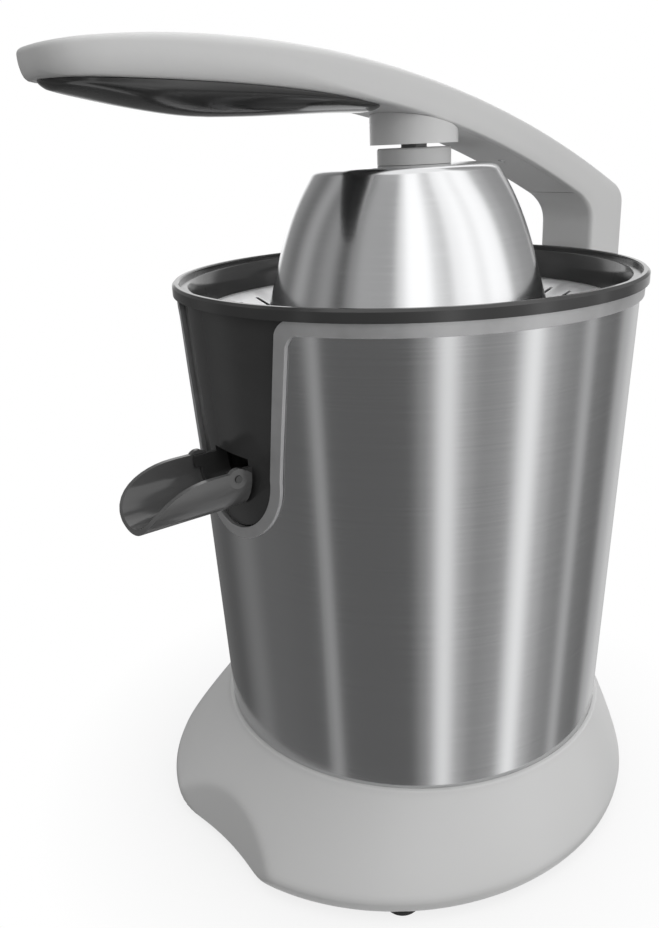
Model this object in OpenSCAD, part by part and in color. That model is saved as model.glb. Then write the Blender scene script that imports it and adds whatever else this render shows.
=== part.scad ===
// Lever citrus juicer. The origin lies on the surface that it stands on, below the middle of its length.
// The spout and the lever's grip point to -Y, the lever's hinge lies at +Y.
// Each piece is drawn about the juicer's upright axis, and placed() then moves it back by axis_y.

/* [Casing] */
// Outer radius of the steel casing at its lower edge
casing_low_r = 89.4; // [84:0.2:94]
// Outer radius of the steel casing at its upper edge
casing_top_r = 97; // [94:0.2:100]
// Height at which the casing comes out of the base
casing_low_z = 42.5; // [39:0.5:47]
// Height of the casing above the base
casing_h = 196; // [188.5:0.5:202.5]
// Sheet thickness of the casing
casing_wall = 0.8; // [0.6:0.1:1.2]
// Depth to which the casing sits in the base
casing_seat = 5; // [3:0.5:7]

/* [Window and trim] */
// Width of the window at its round lower end
window_low_w = 51; // [46:1:58]
// Width of the window at the casing's upper edge
window_top_w = 69; // [64:1:80]
// Height of the window
window_h = 87.5; // [82:0.5:92]
// Radius of the flare at the window's upper corners
window_flare_r = 9; // [6:0.5:12]
// Width of the trim frame round the window
trim_w = 4.6; // [4:0.2:8]
// Height of the trim band round the casing's upper edge
trim_band_h = 5.2; // [4.5:0.1:9]
// How far the trim stands proud of the casing
trim_proud = 1.6; // [1:0.1:2.5]
// Radius of the inner corner between trim frame and trim band
trim_corner_r = 8; // [5:0.5:12]

/* [Bowl] */
// Reach of the bowl's rim past the casing
rim_out = 3; // [1.5:0.25:6]
// Height of the rim's bead above the casing's trim
rim_h = 4.8; // [4:0.2:9]
// Width of the rim's outer bead
rim_bead_w = 3; // [2:0.25:4]
// Drop from the bead to the rim's inner shelf
rim_step = 2; // [1.5:0.25:3]
// Width of the rim from its outer to its inner edge
rim_w = 6.8; // [6:0.1:7.4]
// Wall of the bowl
bowl_wall = 2; // [1.6:0.1:2.6]
// Space between the casing's inner face and the bowl
bowl_gap = 2.6; // [2.4:0.1:3]
// Depth of the bowl's floor below the casing's upper edge, at the outlet
bowl_depth = 76; // [74:0.5:79]
// Slope of the bowl's floor towards the outlet, in degrees
bowl_slope = 2.5; // [1:0.5:4]
// Outer radius of the tube that the drive shaft comes up through
tube_r = 13; // [11.5:0.25:15]
// Drop from the casing's upper edge to the top of that tube
tube_drop = 33.5; // [30:0.5:36]

/* [Strainer] */
// Drop from the casing's upper edge to the strainer's rim
strainer_drop = 10.5; // [6:0.5:13]
// Depth of the strainer's dish
strainer_dish = 20; // [17:0.5:21]
// Radius of the strainer's flat middle
strainer_flat_r = 44; // [40:1:50]
// Sheet thickness of the strainer
strainer_wall = 0.8; // [0.6:0.1:1.2]
// Number of slots in the strainer
strainer_slots = 36; // [24:2:48]
// Width of one slot
strainer_slot_w = 2.2; // [1.4:0.1:3]

/* [Spout] */
// Outer radius of the half-round spout
spout_r = 16.6; // [15.5:0.1:19]
// Wall of the spout
spout_wall = 2.2; // [1.6:0.1:3]
// Drop from the casing's upper edge to the spout's centre line and hinge
spout_drop = 61.5; // [58:0.5:64]
// Length of the spout from its hinge to its tip
spout_len = 38; // [30:0.5:46]
// Length of the curved cut at the spout's tip
spout_cut = 27; // [18:0.5:32]
// Height of the spout's straight sides above its centre line
spout_side = 2.5; // [1:0.25:4]
// Distance of the spout's hinge outside the casing's upper edge
spout_hinge_out = 4; // [3:0.25:6]
// Radius of the spout's hinge pins
spout_pin_r = 1.45; // [1.2:0.05:1.6]

/* [Press dome] */
// Outer radius of the dome at its lower edge
dome_low_r = 59.4; // [55:0.2:61]
// Outer radius of the dome at its flat top
dome_top_r = 42; // [38:0.2:45]
// Drop from the casing's upper edge to the dome's lower edge
dome_drop = 7.5; // [3:0.5:9]
// Height of the dome
dome_h = 54.6; // [52:0.2:55]
// Outward bulge of the dome's side
dome_bulge = 2.2; // [1:0.1:4]
// Radius of the dome's upper corner
dome_corner = 6.5; // [3:0.5:8]
// Sheet thickness of the dome
dome_wall = 1; // [0.8:0.1:1.4]
// Wall of the liner inside the dome
liner_wall = 1.8; // [1.4:0.1:2.4]
// Radius of the dome's hub
hub_r = 15.4; // [13:0.2:16.5]
// Height of the dome's hub
hub_h = 6.6; // [6:0.2:8]
// Distance by which hub and tilting pin stand behind the dome's axis
hub_y = 5.5; // [0:0.5:8]

/* [Lever] */
// Reach of the grip's tip from the juicer's axis
lever_reach = 154; // [144:1:158]
// Rise from the casing's upper edge to the lever's upper edge at the tip
lever_tip_rise = 88; // [84:0.5:94]
// Depth of the lever's side at the tip
lever_tip_d = 9.2; // [7:0.2:11]
// Width of the lever at the grip
lever_grip_w = 39; // [34:0.5:44]
// Width of the lever at the hinge
lever_hinge_w = 30.5; // [28:0.5:32]
// Wall of the hollow lever
lever_wall = 2.6; // [2:0.1:3.2]
// Distance of the hinge pin outside the casing's upper edge
hinge_out = 22.7; // [21:0.1:25]
// Drop from the casing's upper edge to the hinge pin
hinge_drop = 21.5; // [18:0.5:24]
// Half depth of the lever's upright at the hinge
post_r = 12.7; // [11.5:0.1:13]
// Radius of the hinge pin
hinge_pin_r = 4; // [3:0.25:5]
// Radius of the boss that carries the dome
boss_r = 18.3; // [17:0.1:18.6]
// Space between the dome's hub and the boss
boss_gap = 1.5; // [1:0.1:2.2]
// Rise from the boss's lower face to the pin that the dome tilts on
dome_pin_rise = 3.7; // [3.3:0.1:4.1]
// Radius of the pin that the dome tilts on
dome_pin_r = 1.6; // [1.2:0.1:1.8]
// Greatest depth of the grip insert below the lever's side
grip_belly = 8.7; // [7:0.5:13]

/* [Base] */
// Reach of the base's lower edge past its lip
base_flare = 16.9; // [13:0.1:22]
// Ratio of the base's length to its width at the lower edge
base_stretch = 1.04; // [1:0.01:1.08]
// Distance by which the base's lower edge stands forward of the juicer's axis
base_shift = 10.6; // [8:0.2:14]
// Fullness of the base's flank: 1 for a straight cone
base_swell = 1.15; // [1:0.05:1.6]
// Height of the base's lower edge
base_low_z = 2.5; // [2:0.25:4]
// Height of the upright band round the base's lower edge
base_band_h = 7; // [5:0.5:9]
// Inward draw of that band at its foot
base_tuck = 1.2; // [0:0.1:2.5]
// Wall of the base housing
base_wall = 3; // [2.5:0.1:3.5]
// Width of the raised lip round the casing
base_lip_w = 2.2; // [1.6:0.1:3]
// Radius of the hollow for a glass in the front of the base
recess_r = 140; // [120:5:300]
// Depth of that hollow at the base's lower edge
recess_depth = 9.5; // [5:0.5:10]
// Inward lean of that hollow's wall for each unit of height
recess_lean = 0.22; // [0:0.02:0.6]
// Sideways place of that hollow
recess_x = 7; // [0:0.5:14]
// Diameter of a rubber foot
foot_d = 15; // [12:0.5:18]

/* [Drive] */
// Radius of the drive shaft
shaft_r = 6; // [5:0.1:6.5]
// Travel of the drive shaft when the cone is pressed
press_travel = 3; // [2:0.1:3]
// Base radius of the reamer cone
cone_r = 38; // [35:0.5:40]
// Height of the reamer cone
cone_h = 54.2; // [48:0.2:58]
// Number of ribs on the reamer cone
cone_ribs = 10; // [8:1:12]
// Module of the slow gear pair
slow_module = 1.5; // [1.4:0.05:1.6]
// Teeth of the output gear
output_teeth = 48; // [44:1:50]
// Teeth of the idler's small wheel
idler_small_teeth = 12; // [12:1:14]
// Module of the fast gear pair
fast_module = 1; // [0.9:0.05:1.1]
// Teeth of the idler's large wheel
idler_large_teeth = 44; // [40:2:46]
// Teeth of the motor's pinion
pinion_teeth = 11; // [10:1:12]

/* [Hidden] */
$fn = 96;
// Fine facets on the blended shells
blend_fn = 72;

// Overrun of a cut past the face that it opens
over = 1;
// Clearance between two faces that only lie against each other
skin = 0.1;
// Clearance between pieces that move past each other
play = 0.35;
// Radial clearance of a shaft or pin in its bore
fit = 0.05;

// Heights of the main levels and places of the hinges
casing_top_z = casing_low_z + casing_h;
window_low_z = casing_top_z - window_h;
rim_r = casing_top_r + rim_out;
rim_lip_r = rim_r - rim_w;
bowl_floor_z = casing_top_z - bowl_depth;
tube_top_z = casing_top_z - tube_drop;
strainer_z = casing_top_z - strainer_drop;
strainer_low_z = strainer_z - strainer_dish;
spout_z = casing_top_z - spout_drop;
spout_hinge_y = casing_top_r + spout_hinge_out;
spout_reach = spout_hinge_y + spout_len;
dome_low_z = casing_top_z - dome_drop;
dome_top_z = dome_low_z + dome_h;
boss_z = dome_top_z + hub_h + boss_gap;
dome_pin_z = boss_z + dome_pin_rise;
lever_tip_z = casing_top_z + lever_tip_rise;
hinge_y = casing_top_r + hinge_out;
hinge_z = casing_top_z - hinge_drop;

// Radius of the casing's outer face at a height
function casing_r(z) = casing_low_r + (casing_top_r - casing_low_r) * (z - casing_low_z)
    / (casing_top_z - casing_low_z);
// Inner face of the casing
function casing_in_r(z) = casing_r(z) - casing_wall;
// Outer face of the bowl
function bowl_r(z) = casing_in_r(z) - bowl_gap;
// A point of a cubic curve through its four guide points
function curve_point(g, t) = pow(1 - t, 3) * g[0] + 3 * pow(1 - t, 2) * t * g[1]
    + 3 * (1 - t) * t * t * g[2] + pow(t, 3) * g[3];
function curve(g, steps) = [for (i = [0 : steps]) curve_point(g, i / steps)];
function flip(points) = [for (i = [len(points) - 1 : -1 : 0]) points[i]];

// Levels inside the machine, from the bottom up
plate_t = 3;
plate_top_z = base_low_z + plate_t;
frame_t = 4;
frame_drop = 109.5;
frame_z = casing_top_z - frame_drop;
frame_top_z = frame_z + frame_t;
case_h = 28;
case_z = frame_z - case_h;
case_wall = 2.5;
case_floor_z = case_z + case_wall;
rim_low_z = casing_top_z + skin;
rim_top_z = rim_low_z + rim_h;

// Gears: the idler stands behind the shaft and the motor between them
slow_gap = slow_module * (output_teeth + idler_small_teeth) / 2;
fast_gap = fast_module * (idler_large_teeth + pinion_teeth) / 2;
motor_y = slow_gap - fast_gap;
wheel_t = 8;
fast_z = case_floor_z + skin;
slow_z = fast_z + wheel_t + over;
backlash = 0.3;
pressure_angle = 20;
flank_steps = 3;
root_share = 1.25;

// Involute wheel: the angle that the flank has turned through at radius r, from base radius b
function involute(b, r) = (sqrt(r * r - b * b) / b) * 180 / PI - acos(b / r);
// One half tooth from root to tip, as [radius, angle] pairs
function half_tooth(m, teeth) = let (
        r = m * teeth / 2,
        b = r * cos(pressure_angle),
        low = max(b, r - m),
        high = r + m,
        at_pitch = 90 / teeth - backlash / (2 * r) * 90 / PI)
    [for (i = [0 : flank_steps]) let (q = low + (high - low) * i / flank_steps)
        [q, at_pitch + involute(b, r) - involute(b, q)]];
module gear_outline(m, teeth) {
    side = half_tooth(m, teeth);
    root = m * (teeth / 2 - root_share);
    polygon([for (i = [0 : teeth - 1]) let (a = 360 * i / teeth)
        each concat(
            [[root * cos(a - side[0][1]), root * sin(a - side[0][1])]],
            [for (s = side) [s[0] * cos(a - s[1]), s[0] * sin(a - s[1])]],
            [for (s = flip(side)) [s[0] * cos(a + s[1]), s[0] * sin(a + s[1])]],
            [[root * cos(a + side[0][1]), root * sin(a + side[0][1])]])]);
}

// A ring between two radii
module ring(outer, inner, h) {
    difference() {
        cylinder(r = outer, h = h);
        translate([0, 0, -over]) cylinder(r = inner, h = h + 2 * over);
    }
}
// A part of the casing's cone between two heights, grown by so much
module casing_cone(low, high, grow) {
    translate([0, 0, low]) cylinder(r1 = casing_r(low) + grow, r2 = casing_r(high) + grow, h = high - low);
}
// The front of a shape that is drawn as seen from the front, x across and y up
module from_front(depth) {
    rotate([90, 0, 0]) linear_extrude(depth) children();
}
// A bar along X whose side is drawn with x as the distance to the front and y up
module from_side(width) {
    translate([-width / 2, 0, 0]) rotate([90, 0, 90]) linear_extrude(width) mirror([1, 0]) children();
}

// Base: a loft of levels, each with its own radius, length and forward shift
base_top_z = casing_low_z + skin;
base_lip_r = casing_low_r + base_lip_w;
base_r = base_lip_r + base_flare;
base_steps = 8;
lip_round = 1;
module base_level(z, r, share) {
    translate([0, -base_shift * share, z]) scale([1, 1 + (base_stretch - 1) * share, 1])
        cylinder(r = r, h = skin, $fn = blend_fn);
}
// The levels between lower edge and lip: i counts them upwards
module base_flank(inset) {
    for (i = [0 : base_steps]) base_level(base_flank_low + (base_flank_h - inset) * i / base_steps,
        base_r - base_flare * pow(i / base_steps, base_swell) - inset, 1 - i / base_steps);
}
module base_solid() {
    hull() {
        base_level(base_low_z, base_r - base_tuck, 1);
        base_flank(0);
        base_level(base_top_z - skin, base_lip_r - lip_round / 2, 0);
    }
}
module base_cavity() {
    hull() {
        base_level(plate_top_z - over, base_r - base_tuck - base_wall, 1);
        base_flank(base_wall);
    }
}
base_screw_d = 8;
base_boss_d = 10;
plate_in = 16.5;
plate_r = base_r - plate_in;
base_screw_in = 6;
base_screw_r = plate_r - base_screw_in;
base_screw_turns = [10, 170, 235, 305];
pilot_d = 3;
module at_base_screws() {
    for (a = base_screw_turns) translate([0, -base_shift, 0])
        rotate([0, 0, a]) translate([base_screw_r, 0, 0])
        children();
}
gland_z = 20;
gland_r = 5.5;
gland_bore_r = 3.6;
gland_pad_r = 9.5;
gland_out = 2.1;
base_flank_low = base_low_z + base_band_h;
base_flank_h = base_top_z - lip_round - skin - base_flank_low;
// Share of the flank's height, and the flank's place at the back at a height
function flank_share(z) = (z - base_flank_low) / base_flank_h;
function flank_back(z) = (base_r - base_flare * pow(flank_share(z), base_swell))
    * (1 + (base_stretch - 1) * (1 - flank_share(z))) - base_shift * (1 - flank_share(z));
gland_y = flank_back(gland_z) + gland_out;
// The hollow for the glass: its wall is part of a wide cone that leans inwards
module recess(grow) {
    front = base_r * base_stretch + base_shift;
    translate([recess_x, -(front - recess_depth + recess_r), base_low_z - over])
        cylinder(r1 = recess_r + grow - over * recess_lean,
            r2 = recess_r + grow + (base_top_z - base_low_z) * recess_lean,
                h = base_top_z - base_low_z + over);
}
module base_housing() {
    color("whitesmoke") difference() {
        union() {
            difference() {
                base_solid();
                difference() {
                    base_cavity();
                    recess(base_wall);
                    translate([0, 0, base_low_z]) cylinder(r = 2 * base_r, h = plate_top_z - base_low_z);
                    // Ledge that the casing's lower edge stands on
                    translate([0, 0, casing_low_z - casing_seat - base_wall])
                        ring(2 * base_r, casing_low_r - 2 * base_wall, base_top_z);
                    at_base_screws() translate([0, 0, plate_top_z])
                        cylinder(d = base_boss_d, h = base_top_z);
                }
                translate([0, 0, casing_low_z - casing_seat - base_wall - over])
                    cylinder(r = casing_low_r - 2 * base_wall, h = base_top_z);
            }
            translate([0, gland_y, gland_z]) rotate([90, 0, 0])
                cylinder(r = gland_pad_r, h = 3 * base_wall);
        }
        // Seat of the casing
        translate([0, 0, casing_low_z - casing_seat]) cylinder(
            r1 = casing_r(casing_low_z - casing_seat) + skin, r2 = casing_r(base_top_z + over) + skin,
            h = casing_seat + skin + over);
        recess(0);
        // Seat of the base plate
        translate([0, -base_shift, 0]) cylinder(r = plate_r + play, h = plate_top_z);
        at_base_screws() cylinder(d = pilot_d, h = casing_low_z - casing_seat - base_wall);
        at_feet() cylinder(r = foot_stem_r, h = plate_top_z + over);
        translate([0, gland_y + base_wall, gland_z]) rotate([90, 0, 0])
            cylinder(r = gland_r, h = 5 * base_wall);
    }
}
foot_h = base_low_z;
foot_turns = [-40, -140, 40, 140];
foot_out = 0.5;
foot_place_r = base_r - base_tuck - foot_d / 2 + foot_out;
foot_stem_r = 3;
vent_n = 16;
vent_w = 3;
vent_l = 16;
vent_r = 34;
module at_feet() {
    for (a = foot_turns) translate([0, -base_shift, 0]) rotate([0, 0, a]) translate([foot_place_r, 0, 0])
        children();
}
module base_plate() {
    color("dimgray") difference() {
        translate([0, -base_shift, base_low_z]) cylinder(r = plate_r, h = plate_t);
        at_base_screws() cylinder(d = pilot_d + over, h = plate_top_z + over);
        at_base_screws() cylinder(d = base_screw_d, h = base_low_z + plate_t / 2);
        for (i = [0 : vent_n - 1]) rotate([0, 0, 360 * (i + 0.5) / vent_n])
            translate([vent_r, -vent_w / 2, 0]) cube([vent_l, vent_w, plate_top_z + over]);
    }
}
module rubber_feet() {
    color("#333333") at_feet() {
        translate([0, 0, foot_h / 3]) cylinder(d = foot_d, h = 2 * foot_h / 3);
        cylinder(d1 = foot_d - foot_h / 2, d2 = foot_d, h = foot_h / 3);
        cylinder(r = foot_stem_r - fit, h = plate_top_z + over);
    }
}
base_screw_l = 12;
module base_screws() {
    color("silver") at_base_screws() {
        translate([0, 0, base_low_z + play]) cylinder(d = base_screw_d - 2 * play, h = plate_t / 2 - play);
        translate([0, 0, base_low_z + play]) cylinder(d = pilot_d - 2 * fit, h = base_screw_l);
    }
}
module cord_gland() {
    color("#2b2b2b") difference() {
        union() {
            translate([0, gland_y + base_wall / 2, gland_z]) rotate([90, 0, 0])
                cylinder(r = gland_r - fit, h = 4 * base_wall);
            translate([0, gland_y + base_wall, gland_z]) rotate([90, 0, 0])
                cylinder(r1 = gland_r + over, r2 = gland_r + 2 * over, h = base_wall - skin);
            translate([0, gland_y - 3 * base_wall - skin, gland_z]) rotate([90, 0, 0])
                cylinder(r = gland_r + 2 * over, h = base_wall / 2);
        }
        translate([0, gland_y + 2 * base_wall, gland_z]) rotate([90, 0, 0])
            cylinder(r = gland_bore_r, h = 8 * base_wall);
    }
}

// Window and trim, drawn as seen from the front
window_low_r = window_low_w / 2;
window_round_z = window_low_z + window_low_r;
window_slope = (window_top_w - window_low_w) / 2 / (casing_top_z - window_round_z);
function window_half(z) = window_low_r + (z - window_round_z) * window_slope;
module flare(x, z, r) {
    translate([x, z]) difference() {
        square([r, r]);
        translate([r, 0]) circle(r = r);
    }
}
module window_outline(grow, flare_r, top) {
    translate([0, window_round_z]) circle(r = window_low_r + grow);
    polygon([[-window_low_r - grow, window_round_z], [window_low_r + grow, window_round_z],
        [window_half(top) + grow, top], [-window_half(top) - grow, top]]);
    for (s = [0, 1]) mirror([s, 0]) flare(window_half(top - flare_r) + grow - skin, top - flare_r, flare_r);
}
trim_lap = 2.3;
module steel_casing() {
    low = casing_low_z - casing_seat;
    color("silver") difference() {
        casing_cone(low, casing_top_z, 0);
        casing_cone(low - over, casing_top_z + over, -casing_wall);
        from_front(2 * rim_r) window_outline(trim_lap, window_flare_r, casing_top_z + over);
        at_bracket_screws(bracket_screw_r + fit);
    }
}
// The trim is one shell: its band runs all round, and below the band only the frame is left
module casing_trim() {
    low = window_low_z - trim_w - over;
    band_z = casing_top_z - trim_band_h;
    color("#9a9a9a") difference() {
        union() {
            difference() {
                casing_cone(low, casing_top_z, trim_proud);
                casing_cone(low - over, casing_top_z + over, skin);
                from_front(2 * rim_r) difference() {
                    translate([-rim_r, low - over]) square([2 * rim_r, band_z - low + over]);
                    window_outline(trim_w, trim_corner_r, band_z + over);
                }
                translate([-rim_r, -over, low - over]) cube([2 * rim_r, 2 * rim_r, band_z - low + over]);
            }
            // Flange that covers the cut edge of the sheet
            intersection() {
                difference() {
                    casing_cone(window_low_z - trim_w, casing_top_z, trim_proud / 2);
                    casing_cone(window_low_z - trim_w - over, casing_top_z + over, -casing_wall - skin);
                }
                from_front(2 * rim_r) window_outline(trim_lap - skin, window_flare_r, casing_top_z + over);
            }
        }
        from_front(2 * rim_r) window_outline(0, window_flare_r, casing_top_z + over);
    }
}

// Chassis: a round frame on posts that carries the bowl, the gear case and the motor
post_n = 4;
post_in = 13.4;
post_place_r = casing_low_r - post_in;
frame_post_r = 6;
frame_r = casing_in_r(frame_z) - play;
bush_r = 9;
chassis_screw_r = 2;
case_room = 4;
case_main_r = slow_module * (output_teeth + 2) / 2 + case_room;
case_tail_r = fast_module * (idler_large_teeth + 2) / 2 + case_room;
// Two circles joined by their outer tangents
module case_outline(inset) {
    a = case_main_r - inset;
    b = case_tail_r - inset;
    lean = asin((a - b) / slow_gap);
    circle(r = a);
    translate([0, slow_gap]) circle(r = b);
    polygon([[-a * cos(lean), a * sin(lean)], [a * cos(lean), a * sin(lean)],
        [b * cos(lean), slow_gap + b * sin(lean)], [-b * cos(lean), slow_gap + b * sin(lean)]]);
}
main_ear_x = case_main_r + 4 * over;
main_ear_y = -6;
tail_ear_x = case_tail_r + 4 * over;
tail_ear_y = 12;
case_ear_places = [[-main_ear_x, main_ear_y], [main_ear_x, main_ear_y],
    [-tail_ear_x, slow_gap + tail_ear_y], [tail_ear_x, slow_gap + tail_ear_y]];
case_ear_r = 5;
case_ear_h = 6;
module chassis_frame() {
    color("gainsboro") difference() {
        union() {
            translate([0, 0, frame_z]) cylinder(r = frame_r, h = frame_t);
            for (i = [0 : post_n - 1]) rotate([0, 0,
                360 * (i + 0.5) / post_n]) translate([post_place_r, 0, 0])
                translate([0, 0, plate_top_z]) cylinder(r = frame_post_r, h = frame_z - plate_top_z + skin);
        }
        translate([0, 0, frame_z - over]) cylinder(r = bush_r, h = frame_t + 2 * over);
        for (p = case_ear_places) translate([p[0], p[1], frame_z - over])
            cylinder(r = chassis_screw_r - fit, h = frame_t / 2 + 2 * over);
    }
}
idler_axle_r = 3;
rotor_shaft_r = 3;
rotor_bush_r = 6;
motor_screw_r = 2;
motor_screw_x = 28;
motor_screw_y = 22;
module at_motor_screws() {
    for (sx = [-1, 1], sy = [-1, 1]) translate([sx * motor_screw_x, motor_y + sy * motor_screw_y,
        0]) children();
}
module gear_case() {
    color("white") difference() {
        union() {
            difference() {
                translate([0, 0, case_z]) linear_extrude(case_h) case_outline(0);
                translate([0, 0, case_floor_z]) linear_extrude(case_h) case_outline(case_wall);
            }
            for (p = case_ear_places) translate([p[0], p[1], frame_z - case_ear_h])
                cylinder(r = case_ear_r, h = case_ear_h);
            for (p = case_ear_places) translate([p[0], p[1], frame_z - case_ear_h])
                rotate([0, 0, p[0] < 0 ? 0 : 180])
                translate([0, -case_ear_r, 0]) cube([case_ear_r + case_wall / 2, 2 * case_ear_r,
                    case_ear_h]);
            at_motor_screws() translate([0, 0, case_z - case_wall])
                cylinder(r = 2 * motor_screw_r, h = case_wall + skin);
        }
        translate([0, 0, case_z - over]) cylinder(r = bush_r, h = case_h);
        translate([0, motor_y, case_z - over]) cylinder(r = rotor_bush_r, h = case_wall + 2 * over);
        translate([0, slow_gap, case_z - over]) cylinder(r = idler_axle_r, h = case_wall + 2 * over);
        for (p = case_ear_places) translate([p[0], p[1], case_z])
            cylinder(r = chassis_screw_r + fit, h = case_h + over);
        at_motor_screws() translate([0, 0, case_z - case_wall - over])
            cylinder(r = motor_screw_r, h = 2 * case_wall + 2 * over);
    }
}
module chassis_screws() {
    color("silver") for (p = case_ear_places) translate([p[0], p[1], frame_z - case_ear_h]) {
        translate([0, 0, -2 * over]) cylinder(r = 2 * chassis_screw_r, h = 2 * over);
        cylinder(r = chassis_screw_r - 2 * fit, h = case_ear_h + frame_t / 2);
    }
}
// Motor below the gear case
stator_drop = 54;
stator_z = case_z - stator_drop;
stator_h = 34;
stator_x = 68;
stator_y = 56;
stator_bore = 20;
coil_h = 6;
coil_w = 8;
air_gap = 0.6;
rotor_r = stator_bore - air_gap;
module stator_core() {
    color("slategray") difference() {
        translate([-stator_x / 2, motor_y - stator_y / 2, stator_z]) cube([stator_x, stator_y, stator_h]);
        translate([0, motor_y, stator_z - over]) cylinder(r = stator_bore, h = stator_h + 2 * over);
        at_motor_screws() translate([0, 0, stator_z - over])
            cylinder(r = motor_screw_r + 2 * fit, h = stator_h + 2 * over);
    }
}
module stator_windings() {
    color("#b5652b") for (z = [stator_z - coil_h, stator_z + stator_h]) translate([0, motor_y, z])
        ring(stator_bore + coil_w, stator_bore + 2 * skin, coil_h);
}
bracket_t = 3;
bracket_z = stator_z - coil_h - bracket_t - 2 * over;
module motor_bracket() {
    color("silver") difference() {
        union() {
            translate([-stator_x / 2, motor_y - stator_y / 4, bracket_z])
                cube([stator_x, stator_y / 2, bracket_t]);
            at_motor_screws() translate([0, 0, bracket_z]) cylinder(r = 2.5 * motor_screw_r,
                h = stator_z - bracket_z);
            for (s = [-1, 1]) translate([s * motor_screw_x - 2.5 * motor_screw_r,
                motor_y - motor_screw_y, bracket_z])
                cube([5 * motor_screw_r, 2 * motor_screw_y, bracket_t]);
        }
        translate([0, motor_y, bracket_z - over]) cylinder(r = rotor_bush_r, h = bracket_t + 2 * over);
        at_motor_screws() translate([0, 0, bracket_z - over])
            cylinder(r = motor_screw_r + 2 * fit, h = stator_z - bracket_z + 2 * over);
        translate([0, motor_y, bracket_z + bracket_t]) cylinder(r = stator_bore + coil_w + play,
            h = stator_z);
    }
}
module motor_screws() {
    color("silver") at_motor_screws() {
        translate([0, 0, bracket_z - 3 * over]) cylinder(r = 2 * motor_screw_r, h = 3 * over);
        translate([0, 0, bracket_z - over]) cylinder(r = motor_screw_r - fit,
            h = case_floor_z - skin - bracket_z + over);
        translate([0, 0, stator_z + stator_h]) cylinder(r = 2 * motor_screw_r,
            h = case_z - case_wall - stator_z - stator_h);
    }
}
module shaft_bushes() {
    color("darkgoldenrod") {
        translate([0, 0, frame_z]) ring(bush_r - fit, shaft_r + fit, frame_t);
        translate([0, 0, case_z]) ring(bush_r - fit, shaft_r + fit, case_wall);
        translate([0, motor_y, case_z]) ring(rotor_bush_r - fit, rotor_shaft_r + fit, case_wall);
        translate([0, motor_y, bracket_z]) ring(rotor_bush_r - fit, rotor_shaft_r + fit, bracket_t);
    }
}
fan_r = 26;
fan_h = 9;
fan_blades = 9;
fan_z = bracket_z - fan_h - 5 * over;
blade_t = 1.6;
module motor_rotor() {
    color("gray") translate([0, motor_y, 0]) {
        translate([0, 0, fan_z]) cylinder(r = rotor_shaft_r, h = fast_z + wheel_t - fan_z);
        translate([0, 0, stator_z]) cylinder(r = rotor_r, h = stator_h);
        translate([0, 0, fan_z]) cylinder(r = fan_r, h = blade_t);
        translate([0, 0, fan_z]) cylinder(r = 2 * rotor_shaft_r, h = fan_h);
        for (i = [0 : fan_blades - 1]) rotate([0, 0, 360 * i / fan_blades])
            translate([rotor_shaft_r, -blade_t / 2, fan_z]) cube([fan_r - rotor_shaft_r - over,
                blade_t, fan_h]);
        translate([0, 0, fast_z]) rotate([0, 0, 90]) linear_extrude(wheel_t)
            gear_outline(fast_module, pinion_teeth);
    }
}
// The idler's wheels: a gap of each wheel faces the wheel that it meets
module idler_gear() {
    color("white") translate([0, slow_gap, 0]) difference() {
        union() {
            translate([0, 0, fast_z]) rotate([0, 0, -90 + 180 / idler_large_teeth]) linear_extrude(wheel_t)
                gear_outline(fast_module, idler_large_teeth);
            translate([0, 0, fast_z + wheel_t - skin]) cylinder(r = idler_axle_r + 2 * over,
                h = over + skin);
            translate([0, 0, slow_z]) rotate([0, 0, -90 + 180 / idler_small_teeth]) linear_extrude(wheel_t)
                gear_outline(slow_module, idler_small_teeth);
        }
        translate([0, 0, fast_z - over]) cylinder(r = idler_axle_r + fit, h = 3 * wheel_t);
    }
}
module idler_axle() {
    color("silver") translate([0, slow_gap, case_z]) cylinder(r = idler_axle_r - fit / 2, h = case_h);
}
hub_wall = 4;
module output_gear() {
    color("white") difference() {
        union() {
            translate([0, 0, slow_z]) rotate([0, 0, 90]) linear_extrude(wheel_t)
                gear_outline(slow_module, output_teeth);
            translate([0, 0, slow_z]) cylinder(r = shaft_r + hub_wall,
                h = frame_z - 2 * press_travel - play - slow_z);
        }
        translate([0, 0, slow_z - over]) cylinder(r = shaft_r + 2 * fit, h = case_h, $fn = 6);
    }
}
// The shaft slides down through the hexagonal bore of the output gear
collar_room = 3;
collar_z = case_floor_z + press_travel + collar_room;
collar_t = 2;
shaft_low_z = case_z - over;
cone_z = strainer_low_z + strainer_wall + press_travel + over;
cone_top_z = cone_z + cone_h;
cone_seat_in = 4.2;
cone_seat_z = cone_z + cone_seat_in;
hex_h = 22;
hex_top_z = cone_seat_z + hex_h;
module drive_shaft() {
    color("silver") {
        translate([0, 0, shaft_low_z]) cylinder(r = shaft_r, h = collar_z + collar_t - shaft_low_z);
        translate([0, 0, collar_z]) cylinder(r = bush_r, h = collar_t);
        translate([0, 0, collar_z + collar_t - skin]) cylinder(r = shaft_r,
            h = frame_z - press_travel - collar_z - collar_t + skin, $fn = 6);
        translate([0, 0, frame_z - press_travel - skin]) cylinder(r = shaft_r,
            h = cone_seat_z - frame_z + press_travel + skin);
        translate([0, 0, cone_seat_z - skin]) cylinder(r = shaft_r, h = hex_top_z - cone_seat_z + skin,
            $fn = 6);
    }
}
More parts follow.
